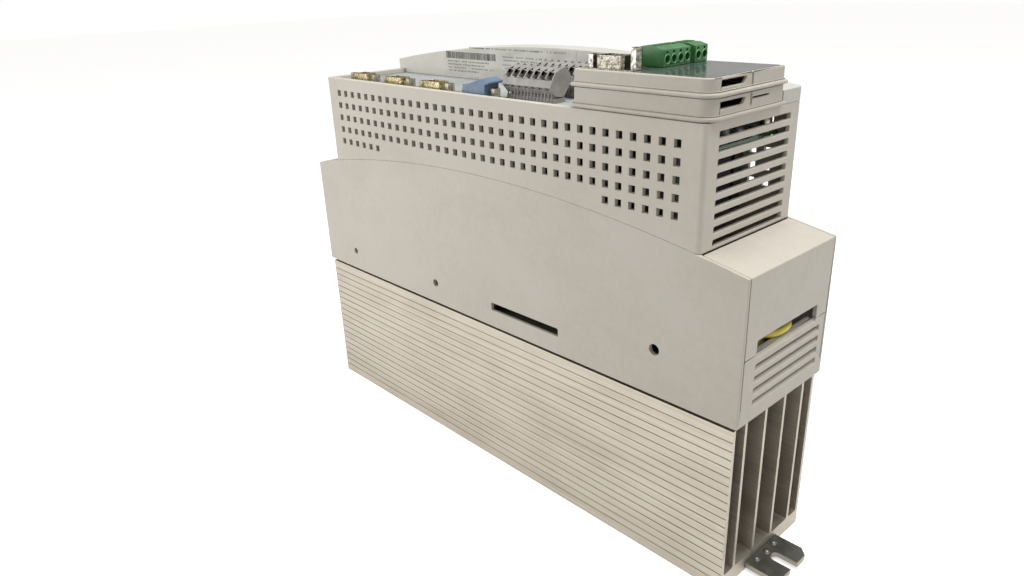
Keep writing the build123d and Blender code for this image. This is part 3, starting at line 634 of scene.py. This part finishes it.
def bars_tree():
    """A row of printed bars or dashes of uneven width and gap."""
    tree, inner = new_tree("printed bars", [
        ("Count", "Int"), ("Pitch", "Float"), ("Bar", "Vector"), ("Narrowest", "Float"),
        ("Start", "Vector"), ("Kept", "Float"), ("Seed", "Int"), ("Finish", "Material")])
    step = add(tree, "ShaderNodeCombineXYZ", [("X", inner["Pitch"])])
    line = add(
        tree, "GeometryNodeMeshLine",
        [("Count", inner["Count"]), ("Start Location", inner["Start"]),
         ("Offset", step.outputs["Vector"])],
    )
    keep = add(
        tree, "FunctionNodeRandomValue",
        [("Probability", inner["Kept"]), ("Seed", inner["Seed"])], data_type="BOOLEAN",
    )
    bar = add(tree, "GeometryNodeMeshCube", [("Size", inner["Bar"])])
    widths = add(
        tree, "FunctionNodeRandomValue",
        [(2, inner["Narrowest"]), (3, 1.0), ("Seed", inner["Seed"])], data_type="FLOAT",
    )
    sizes = add(
        tree, "ShaderNodeCombineXYZ", [("X", widths.outputs[1]), ("Y", 1.0), ("Z", 1.0)]
    )
    placed = add(
        tree, "GeometryNodeInstanceOnPoints",
        [("Points", line.outputs["Mesh"]), ("Selection", keep.outputs[3]),
         ("Instance", bar.outputs["Mesh"]), ("Scale", sizes.outputs["Vector"])],
    )
    return close_tree(tree, placed.outputs["Instances"], inner["Finish"])


def board_parts_tree():
    """Small parts on a board: a grid thinned by chance, each of its own size."""
    tree, inner = new_tree("parts on a board", [
        ("Length", "Float"), ("Width", "Float"), ("Columns", "Int"), ("Rows", "Int"),
        ("Centre", "Vector"), ("Smallest", "Vector"), ("Largest", "Vector"),
        ("Kept", "Float"), ("Seed", "Int"), ("Finish", "Material")])
    grid = add(
        tree, "GeometryNodeMeshGrid",
        [("Size X", inner["Length"]), ("Size Y", inner["Width"]),
         ("Vertices X", inner["Columns"]), ("Vertices Y", inner["Rows"])],
    )
    moved = add(
        tree, "GeometryNodeTransform",
        [("Geometry", grid.outputs["Mesh"]), ("Translation", inner["Centre"])],
    )
    keep = add(
        tree, "FunctionNodeRandomValue",
        [("Probability", inner["Kept"]), ("Seed", inner["Seed"])], data_type="BOOLEAN",
    )
    sizes = add(
        tree, "FunctionNodeRandomValue",
        [(0, inner["Smallest"]), (1, inner["Largest"]), ("Seed", inner["Seed"])],
        data_type="FLOAT_VECTOR",
    )
    unit = add(tree, "GeometryNodeMeshCube", [("Size", (1.0, 1.0, 1.0))])
    seated = add(
        tree, "GeometryNodeTransform",
        [("Geometry", unit.outputs["Mesh"]), ("Translation", (0.0, 0.0, 0.5))],
    )
    placed = add(
        tree, "GeometryNodeInstanceOnPoints",
        [("Points", moved.outputs["Geometry"]), ("Selection", keep.outputs[3]),
         ("Instance", seated.outputs["Geometry"]), ("Scale", sizes.outputs[0])],
    )
    return close_tree(tree, placed.outputs["Instances"], inner["Finish"])


def tube_tree():
    """A round section carried along a path; the place round it is kept."""
    tree, inner = new_tree("tube along a path", [
        ("Radius", "Float"), ("Sides", "Int"), ("Finish", "Material")])
    ring = add(
        tree, "GeometryNodeCurvePrimitiveCircle",
        [("Resolution", inner["Sides"]), ("Radius", inner["Radius"])],
    )
    kept = add(
        tree, "GeometryNodeStoreNamedAttribute",
        [("Geometry", ring.outputs["Curve"]), ("Name", "round"),
         ("Value", add(tree, "GeometryNodeSplineParameter").outputs["Factor"])],
        data_type="FLOAT", domain="POINT",
    )
    path = add(tree, "GeometryNodeMeshToCurve", [("Mesh", inner["Geometry"])])
    tube = add(
        tree, "GeometryNodeCurveToMesh",
        [("Curve", path.outputs["Curve"]), ("Profile Curve", kept.outputs["Geometry"]),
         ("Fill Caps", True)],
    )
    soft = add(tree, "GeometryNodeSetShadeSmooth", [("Geometry", tube.outputs["Mesh"])])
    return close_tree(tree, soft.outputs["Geometry"], inner["Finish"])


TREES = {}


def tree_for(make):
    if make not in TREES:
        TREES[make] = make()
    return TREES[make]


def points_mesh(name, points):
    mesh = bpy.data.meshes.new(name)
    mesh.from_pydata([tuple(c * MM for c in p) for p in points], [], [])
    return mesh


def at_points(name, shape, points, key, body, turn=0.0, seed=3):
    """Repeats a shape, which is dropped afterwards, at points in mm."""
    return grown(
        name, tree_for(shapes_at_points_tree), points_mesh(name, points),
        {"Shape": shape, "Turn": turn, "Seed": seed, "Finish": key}, body,
    )


def turned_shape(name, profile, sides=20):
    """A small turned ring: its section is the closed outline of the
    (radius, height) pairs, in mm."""
    work = bmesh.new()
    rings = []
    for radius, height in profile:
        row = [
            work.verts.new((
                radius * MM * math.cos(2 * math.pi * i / sides),
                radius * MM * math.sin(2 * math.pi * i / sides),
                height * MM,
            ))
            for i in range(sides)
        ]
        rings.append(row)
    for low, high in zip(rings, [*rings[1:], rings[0]]):
        for i in range(sides):
            j = (i + 1) % sides
            work.faces.new((low[i], low[j], high[j], high[i]))
    bmesh.ops.remove_doubles(work, verts=work.verts, dist=1e-7)
    bmesh.ops.recalc_face_normals(work, faces=work.faces)
    mesh = mesh_of(work, name)
    for face in mesh.polygons:
        face.use_smooth = True
    mesh.set_sharp_from_angle(angle=math.radians(35))
    return link(bpy.data.objects.new(name, mesh))


def drop(obj):
    bpy.data.objects.remove(obj)


def box_shape(name, size):
    """A small block with its foot at the origin, sizes in mm."""
    work = bmesh.new()
    bmesh.ops.create_cube(work, size=1.0)
    for vert in work.verts:
        vert.co = Vector((vert.co.x * size[0], vert.co.y * size[1],
                          (vert.co.z + 0.5) * size[2])) * MM
    mesh = mesh_of(work, name)
    return link(bpy.data.objects.new(name, mesh))


def path_mesh(name, points, smooth=False):
    """The line that a path through or near points in mm follows."""
    data = bpy.data.curves.new(name, "CURVE")
    data.dimensions = "3D"
    line = data.splines.new("NURBS" if smooth else "POLY")
    line.points.add(len(points) - 1)
    for point, place in zip(line.points, points):
        point.co = (*(c * MM for c in place), 1.0)
    if smooth:
        line.order_u = 3
        line.use_endpoint_u = True
        data.resolution_u = 12
    holder = link(bpy.data.objects.new(name, data))
    bpy.context.view_layer.update()
    mesh = bpy.data.meshes.new_from_object(holder)
    bpy.data.objects.remove(holder)
    return mesh


# ------------------------------------------------------------- user settings


class DriveSizes(bpy.types.PropertyGroup):
    """Sizes of the finishing details."""

    edge_round: bpy.props.FloatProperty(
        name="Moulding edge", description="Rounding of the moulded housings' outer edges",
        default=0.00045, unit="LENGTH", subtype="DISTANCE")
    module_edge: bpy.props.FloatProperty(
        name="Module edge", description="Rounding of the plug-in module's edges",
        default=0.0006, unit="LENGTH", subtype="DISTANCE")
    bead: bpy.props.FloatProperty(
        name="Bead", description="Radius of the half-round beads round the module",
        default=0.00095, unit="LENGTH", subtype="DISTANCE")
    wire_ring: bpy.props.FloatProperty(
        name="Wire ring", description="Outer radius of the raised ring round a wire hole",
        default=0.0022, unit="LENGTH", subtype="DISTANCE")
    lead: bpy.props.FloatProperty(
        name="Earth lead", description="Radius of the earth lead over its insulation",
        default=0.0022, unit="LENGTH", subtype="DISTANCE")
    bar_height: bpy.props.FloatProperty(
        name="Bar code", description="Height of the bars printed on the rating label",
        default=0.0042, unit="LENGTH", subtype="DISTANCE")


class DriveStage(bpy.types.PropertyGroup):
    """Light and backdrop round the drive."""

    surround: bpy.props.FloatProperty(
        name="Surround", description="Strength of the even light from all round",
        default=0.42, min=0.0)
    end_light: bpy.props.FloatProperty(
        name="End light", description="Power of the soft light on the mains end",
        default=0.8, unit="POWER")
    side_light: bpy.props.FloatProperty(
        name="Side light", description="Power of the soft light beside the motor end",
        default=3.2, unit="POWER")
    top_light: bpy.props.FloatProperty(
        name="Top light", description="Power of the soft light overhead",
        default=13.0, unit="POWER")
    floor: bpy.props.FloatVectorProperty(
        name="Floor", description="Colour of the plain floor", subtype="COLOR",
        default=(0.9, 0.9, 0.9), min=0.0, max=1.0)
    lens: bpy.props.FloatProperty(
        name="Lens", description="Focal length of the camera", default=27.07,
        unit="CAMERA")


# ----------------------------------------------------------------- operators


class PieceOperator:
    """What every piece of the drive has in common."""

    bl_options = {"REGISTER", "UNDO"}

    @property
    def sizes(self):
        return bpy.context.scene.drive_sizes


class DRIVE_OT_heatsink(PieceOperator, bpy.types.Operator):
    """Finned extrusion that carries the power parts"""

    bl_idname = "drive.heatsink"
    bl_label = "Heatsink"

    def execute(self, context):
        dress("heatsink", "sink_aluminium")
        return {"FINISHED"}


class DRIVE_OT_fixing_brackets(PieceOperator, bpy.types.Operator):
    """Two slotted brackets that slide in the track under the heatsink"""

    bl_idname = "drive.fixing_brackets"
    bl_label = "Fixing brackets"

    def execute(self, context):
        for end in ("top", "bottom"):
            rounded_copy(
                f"fixing_bracket_{end}", f"bracket_plate_{end}", "zinc_steel", 0.18)
        return {"FINISHED"}


class DRIVE_OT_moulded_shells(PieceOperator, bpy.types.Operator):
    """Base shroud, upper housing, terminal covers, front panel and raised wall"""

    bl_idname = "drive.moulded_shells"
    bl_label = "Moulded shells"

    def execute(self, context):
        edge = self.sizes.edge_round / MM
        for node, key, share in (
            ("base_shroud", "housing_plastic", 1.0),
            ("upper_housing", "housing_plastic", 0.9),
            ("mains_terminal_cover", "housing_plastic", 1.0),
            ("motor_terminal_cover", "housing_plastic", 1.0),
            ("front_panel", "panel_film", 0.4),
            ("nameplate_wall", "light_panel", 1.0),
        ):
            rounded_copy(node, f"moulded_{node}", key, edge * share, least=12.0)
        return {"FINISHED"}


class DRIVE_OT_rating_label(PieceOperator, bpy.types.Operator):
    """Rating label with a bar code and lines of print too small to read"""

    bl_idname = "drive.rating_label"
    bl_label = "Rating label"

    def execute(self, context):
        dress("rating_label", "label_white")
        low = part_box("rating_label")[0]
        face = low.y - 0.00004
        rows = [
            ("print_bar_code", 62, 0.8, (0.6, 0.06, self.sizes.bar_height / MM),
             (-96.6, 242.1), 0.35, 1.0, 11),
        ]
        for number, (x, z, count, kept) in enumerate((
            (-72.0, 247.3, 44, 0.85), (-95.0, 238.2, 30, 0.9), (-95.0, 236.2, 26, 0.85),
            (-95.0, 234.2, 32, 0.9), (-95.0, 232.2, 22, 0.8), (-40.0, 238.2, 34, 0.85),
            (-40.0, 236.2, 30, 0.85), (-40.0, 234.2, 36, 0.85), (-40.0, 232.2, 28, 0.8),
            (-40.0, 243.0, 24, 0.8), (-40.0, 241.0, 30, 0.85), (-12.0, 247.3, 20, 0.8),
        )):
            rows.append((f"print_line_{number}", count, 1.45, (1.15, 0.05, 0.85), (x, z),
                         0.45, kept, 20 + number))
        for name, count, pitch, bar, (x, z), narrow, kept, seed in rows:
            grown(
                name, tree_for(bars_tree), bpy.data.meshes.new(name),
                {"Count": count, "Pitch": pitch * MM, "Bar": tuple(b * MM for b in bar),
                 "Narrowest": narrow, "Start": (x * MM, face, z * MM), "Kept": kept,
                 "Seed": seed,
                 "Finish": "label_ink" if "bar" in name else "label_ink_pale"},
                body_of("rating_label"),
            )
        return {"FINISHED"}


class DRIVE_OT_front_sockets(PieceOperator, bpy.types.Operator):
    """Row of D-shaped sockets with their contacts and jack nuts"""

    bl_idname = "drive.front_sockets"
    bl_label = "Front sockets"

    def execute(self, context):
        rounded_copy("subd_shells", "subd_drawn_shells", "yellow_zinc", 0.15)
        dress("subd_inserts", "black_plastic")
        dress("subd_jackscrews", "brass_nickel")
        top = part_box("subd_inserts")[1].z / MM
        points = []
        for x in OPEN_SUBD_X:
            points += [(x + CONTACT_PITCH * (i - 2), SUBD_Y - CONTACT_ROW, top - 0.35)
                       for i in range(5)]
            points += [(x - 4.16 + CONTACT_PITCH * i, SUBD_Y + CONTACT_ROW, top - 0.35)
                       for i in range(4)]
        ring = turned_shape(
            "contact", [(0.5, 0.0), (0.85, 0.0), (0.8, 0.5), (0.5, 0.5)], 10)
        at_points("socket_contacts", ring, points, "gold_contact", body_of("subd_inserts"))
        drop(ring)
        return {"FINISHED"}


class DRIVE_OT_dust_cap(PieceOperator, bpy.types.Operator):
    """Blue dust cap on the unused encoder socket"""

    bl_idname = "drive.dust_cap"
    bl_label = "Dust cap"

    def execute(self, context):
        rounded_copy("dust_cap", "vinyl_dust_cap", "blue_plastic", 0.5, steps=3)
        return {"FINISHED"}


class DRIVE_OT_terminal_plugs(PieceOperator, bpy.types.Operator):
    """Two grey seven-pole plugs in their headers"""

    bl_idname = "drive.terminal_plugs"
    bl_label = "Terminal plugs"

    def execute(self, context):
        for place in ("near", "far"):
            dress(f"terminal_header_{place}", "terminal_grey")
            rounded_copy(
                f"terminal_plug_{place}", f"seven_pole_plug_{place}", "terminal_grey", 0.2)
            dress(f"terminal_screws_{place}", "screw_steel")
            low, high = (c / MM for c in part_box(f"terminal_header_{place}"))
            rib = box_shape("rib", (0.7, 0.35, high.z - low.z - 0.6))
            at_points(
                f"header_ribs_{place}", rib,
                [(low.x + 1.2 + RIB_PITCH * i, low.y - 0.1, low.z + 0.3)
                 for i in range(int((high.x - low.x - 1.5) / RIB_PITCH) + 1)],
                "terminal_grey", body_of(f"terminal_header_{place}"))
            drop(rib)
        return {"FINISHED"}


class DRIVE_OT_option_module(PieceOperator, bpy.types.Operator):
    """Plug-in module: base, lid with cooling windows, board and socket"""

    bl_idname = "drive.option_module"
    bl_label = "Plug-in module"

    def execute(self, context):
        edge = self.sizes.module_edge / MM
        rounded_copy("module_base", "moulded_module_base", "module_plastic", edge)
        rounded_copy("module_lid", "moulded_module_lid", "module_plastic", edge)
        rounded_copy("module_subd_shell", "module_drawn_shell", "subd_steel", 0.15)
        for node, key in (
            ("module_socket", "black_plastic"), ("module_board", "board_green"),
            ("module_link", "black_plastic"), ("module_subd_insert", "black_plastic"),
            ("module_subd_jackscrews", "nickel_nut"),
        ):
            dress(node, key)
        low, high = (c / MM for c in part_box("module_lid"))
        corner, reach = MODULE_CORNER, 0.25
        turn = [
            (high.x - corner + (corner - reach) * math.sin(a),
             low.y + corner - (corner - reach) * math.cos(a))
            for a in (math.pi / 2 * i / 8 for i in range(9))
        ]
        plan = [(low.x + 0.4, low.y + reach), *turn, (high.x - reach, high.y - 0.4)]
        for name, z in zip(("module_bead_low", "module_bead_middle"), BEAD_Z):
            grown(
                name, tree_for(tube_tree),
                path_mesh(name, [(x, y, z) for x, y in plan]),
                {"Radius": self.sizes.bead, "Sides": 14, "Finish": "module_plastic"},
                body_of("module_lid"),
            )
        return {"FINISHED"}


class DRIVE_OT_module_film(PieceOperator, bpy.types.Operator):
    """Printed membrane on top of the module"""

    bl_idname = "drive.module_film"
    bl_label = "Module film"

    def execute(self, context):
        dress("module_film", "film_grey")
        return {"FINISHED"}


class DRIVE_OT_green_plugs(PieceOperator, bpy.types.Operator):
    """Green four-pole and two-pole plugs with ringed wire holes"""

    bl_idname = "drive.green_plugs"
    bl_label = "Green plugs"

    def execute(self, context):
        for poles in (4, 2):
            rounded_copy(
                f"green_plug_{poles}", f"green_plug_{poles}_pole", "green_plastic", 0.25)
            dress(f"green_header_{poles}", "green_plastic")
            dress(f"green_screws_{poles}", "screw_steel")
            low, high = (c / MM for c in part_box(f"green_plug_{poles}"))
            middle = (low.y + high.y) / 2
            places = [middle + POLE_PITCH * (i - (poles - 1) / 2) for i in range(poles)]
            outer = self.sizes.wire_ring / MM
            ring = turned_shape(
                "ring", [(1.85, 0.0), (outer, 0.0), (outer - 0.1, 0.35), (1.95, 0.35)],
                20)
            ring.data.transform(Matrix.Rotation(math.pi / 2, 4, "Y"))
            at_points(f"wire_rings_{poles}", ring,
                      [(high.x, y, WIRE_HOLE_Z) for y in places],
                      "green_pale", body_of(f"green_plug_{poles}"))
            drop(ring)
            rib = box_shape("rib", (5.0, 0.5, 0.35))
            at_points(f"grip_ribs_{poles}", rib,
                      [(low.x + 4.0, y + d, high.z - 0.05) for y in places
                       for d in (-1.6, 0.0, 1.6)],
                      "green_plastic", body_of(f"green_plug_{poles}"))
            drop(rib)
        return {"FINISHED"}


class DRIVE_OT_boards(PieceOperator, bpy.types.Operator):
    """Power and control boards with their small parts, posts and screws"""

    bl_idname = "drive.boards"
    bl_label = "Boards"

    def execute(self, context):
        for node, key in (
            ("power_board", "board_green"), ("control_board", "board_green"),
            ("board_standoffs", "brass_nickel"), ("control_standoffs", "brass_nickel"),
            ("board_screws", "screw_steel"), ("control_screws", "screw_steel"),
            ("board_link_sockets", "black_plastic"), ("ribbon_cable", "ribbon_grey"),
        ):
            dress(node, key)
        for name, key, length, width, columns, rows, centre, small, large, kept, seed in (
            ("control_board_cans_left", "relay_black", 41, 48, 4, 6,
             (-73, 0, CONTROL_BOARD_UNDER - 38), (6, 6, 38), (10.5, 9.4, 38), 0.95, 5),
            ("control_board_cans_right", "relay_black", 117, 48, 11, 6,
             (65, 0, CONTROL_BOARD_UNDER - 38), (6, 6, 38), (10.5, 9.4, 38), 0.95, 6),
            ("control_board_coils", "relay_black", 26, 50, 3, 6,
             (-118, 0, CONTROL_BOARD_UNDER - 32), (6, 6, 32), (9.5, 9, 32), 0.9, 14),
            ("control_board_chips", "black_plastic", 99, 30, 8, 3,
             (-55, 6, CONTROL_BOARD_TOP), (5, 5, 1.5), (11, 9, 2.5), 0.75, 8),
            ("power_board_films", "can_blue", 30, 22, 3, 2, (28, 16, POWER_BOARD_TOP),
             (9, 12, 26), (13, 18, 44), 1.0, 9),
            ("power_board_blocks", "relay_black", 70, 16, 6, 2,
             (-92, -15.5, POWER_BOARD_TOP), (8, 10, 14), (13, 14, 40), 0.95, 12),
        ):
            grown(
                name, tree_for(board_parts_tree), bpy.data.meshes.new(name),
                {"Length": length * MM, "Width": width * MM, "Columns": columns,
                 "Rows": rows, "Centre": tuple(c * MM for c in centre),
                 "Smallest": tuple(c * MM for c in small),
                 "Largest": tuple(c * MM for c in large), "Kept": kept, "Seed": seed,
                 "Finish": key},
                body_of("control_board"),
            )
        return {"FINISHED"}


class DRIVE_OT_power_parts(PieceOperator, bpy.types.Operator):
    """Power module, rectifier, capacitors, choke, relays and transformer"""

    bl_idname = "drive.power_parts"
    bl_label = "Power parts"

    def execute(self, context):
        for node, key in (
            ("power_module", "relay_black"), ("thermal_pad", "pad_grey"),
            ("rectifier_bridge", "relay_black"), ("link_capacitors", "can_blue"),
            ("mains_choke", "ferrite"), ("charge_relays", "relay_black"),
            ("supply_transformer", "ferrite"),
            ("mains_terminal_block", "terminal_grey"),
            ("motor_terminal_block", "terminal_grey"),
            ("mains_terminal_screws", "screw_steel"),
            ("motor_terminal_screws", "screw_steel"),
            ("earth_screws", "screw_steel"), ("housing_screws", "screw_steel"),
        ):
            dress(node, key)
        return {"FINISHED"}


class DRIVE_OT_earth_lead(PieceOperator, bpy.types.Operator):
    """Yellow and green earth lead from the mains block to its screw"""

    bl_idname = "drive.earth_lead"
    bl_label = "Earth lead"

    def execute(self, context):
        lead = grown(
            "earth_lead_pvc", tree_for(tube_tree),
            path_mesh("earth_lead_pvc", LEAD_ROUTE, True),
            {"Radius": self.sizes.lead, "Sides": 20, "Finish": "lead_green_yellow"},
            body_of("earth_lead"),
        )
        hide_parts("earth_lead")
        self.lug()
        return {"FINISHED"}

    def lug(self):
        parts = (
            (turned_shape("eye", [(2.1, 0), (4.2, 0), (4.2, 1), (2.1, 1)], 24),
             Matrix.Translation((0.165, 0.014, 0.104))),
            (turned_shape("barrel", [(2.25, 0), (2.9, 0), (2.9, 4.4), (2.25, 4.4)], 20),
             Matrix.Translation((0.165, 0.0092, 0.107))
             @ Matrix.Rotation(math.pi / 2, 4, "X")),
            (box_shape("tongue", (4.6, 5.0, 1.0)),
             Matrix.Translation((0.165, 0.0085, 0.104))),
            (box_shape("neck", (4.0, 1.2, 3.0)),
             Matrix.Translation((0.165, 0.0092, 0.1045))),
        )
        work = bmesh.new()
        for shape, place in parts:
            shape.data.transform(place)
            work.from_mesh(shape.data)
            drop(shape)
        mesh = mesh_of(work, "earth_lug")
        lug = piece_from("earth_lug", mesh, "tinned_copper")
        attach(lug, body_of("earth_lead"))
        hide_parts("earth_lead")


class DRIVE_OT_stage(bpy.types.Operator):
    """Plain white floor and backdrop, soft light and the camera"""

    bl_idname = "drive.stage"
    bl_label = "Stage"

    def execute(self, context):
        scene = bpy.context.scene
        choice = scene.drive_stage
        scene.view_settings.view_transform = "Standard"
        self.ground(choice)
        world = bpy.data.worlds.new("even surround")
        scene.world = world
        world.use_nodes = True
        sky = world.node_tree.nodes["Background"]
        sky.inputs["Color"].default_value = (1.0, 0.985, 0.965, 1.0)
        sky.inputs["Strength"].default_value = choice.surround
        self.soft_light("end light", choice.end_light, 0.55, (1.05, 0.02, 0.42),
                        (0.17, 0.0, 0.15))
        self.soft_light("side light", choice.side_light, 0.6, (-0.46, -0.62, 0.42),
                        (-0.12, 0.0, 0.2))
        self.soft_light("top light", choice.top_light, 0.9, (0.3, 0.15, 1.3),
                        (0.05, 0.0, 0.2))
        lens = bpy.data.cameras.new("front quarter")
        lens.lens = choice.lens
        lens.sensor_width = SENSOR_WIDTH
        lens.clip_start = 0.01
        eye = link(bpy.data.objects.new("front quarter", lens))
        eye.location = CAMERA_PLACE
        eye.rotation_euler = [math.radians(a) for a in CAMERA_TURN]
        scene.camera = eye
        return {"FINISHED"}

    def ground(self, choice):
        work = bmesh.new()
        bmesh.ops.create_grid(work, x_segments=1, y_segments=1, size=FLOOR_HALF)
        mesh = mesh_of(work, "plain_floor")
        floor = link(bpy.data.objects.new("plain_floor", mesh))
        floor.location.z = FLOOR_Z
        mesh.materials.append(
            lit_paper("matt_white_paper", 0.9, (*choice.floor, 1.0), FLOOR_GLOW))
        floor.visible_diffuse = False
        work = bmesh.new()
        bmesh.ops.create_uvsphere(
            work, u_segments=48, v_segments=24, radius=SURROUND_RADIUS)
        bmesh.ops.reverse_faces(work, faces=work.faces)
        mesh = mesh_of(work, "white_surround")
        dome = link(bpy.data.objects.new("white_surround", mesh))
        mesh.materials.append(
            lit_paper("lit_white_paper", 1.0, (0.0, 0.0, 0.0, 1.0), SURROUND_GLOW))
        for kind in ("diffuse", "glossy", "transmission", "shadow", "volume_scatter"):
            setattr(dome, f"visible_{kind}", False)

    def soft_light(self, name, power, size, place, aim):
        data = bpy.data.lights.new(name, "AREA")
        data.energy = power
        data.shape = "DISK"
        data.size = size
        lamp = link(bpy.data.objects.new(name, data))
        lamp.location = place
        ray = Vector(aim) - Vector(place)
        lamp.rotation_euler = ray.to_track_quat("-Z", "Y").to_euler()


PIECES = (
    DRIVE_OT_heatsink, DRIVE_OT_fixing_brackets, DRIVE_OT_moulded_shells,
    DRIVE_OT_rating_label, DRIVE_OT_front_sockets, DRIVE_OT_dust_cap,
    DRIVE_OT_terminal_plugs, DRIVE_OT_option_module, DRIVE_OT_module_film,
    DRIVE_OT_green_plugs, DRIVE_OT_boards, DRIVE_OT_power_parts, DRIVE_OT_earth_lead,
    DRIVE_OT_stage,
)


class DRIVE_PT_build(bpy.types.Panel):
    """Lists what the drive is made of."""

    bl_label = "Servo drive"
    bl_space_type = "VIEW_3D"
    bl_region_type = "UI"
    bl_category = "Servo drive"

    def draw(self, context):
        scene = context.scene
        for group in (scene.drive_sizes, scene.drive_stage):
            for name in group.bl_rna.properties.keys():
                if name not in ("rna_type", "name"):
                    self.layout.prop(group, name)
        for piece in PIECES:
            self.layout.operator(piece.bl_idname)


CLASSES = (DriveSizes, DriveStage, *PIECES, DRIVE_PT_build)


def register():
    for item in CLASSES:
        bpy.utils.register_class(item)
    bpy.types.Scene.drive_sizes = bpy.props.PointerProperty(type=DriveSizes)
    bpy.types.Scene.drive_stage = bpy.props.PointerProperty(type=DriveStage)


def unregister():
    del bpy.types.Scene.drive_stage
    del bpy.types.Scene.drive_sizes
    for item in reversed(CLASSES):
        bpy.utils.unregister_class(item)


def main():
    register()
    for piece in PIECES:
        group, name = piece.bl_idname.split(".")
        getattr(getattr(bpy.ops, group), name)()


if __name__ == "__main__":
    main()
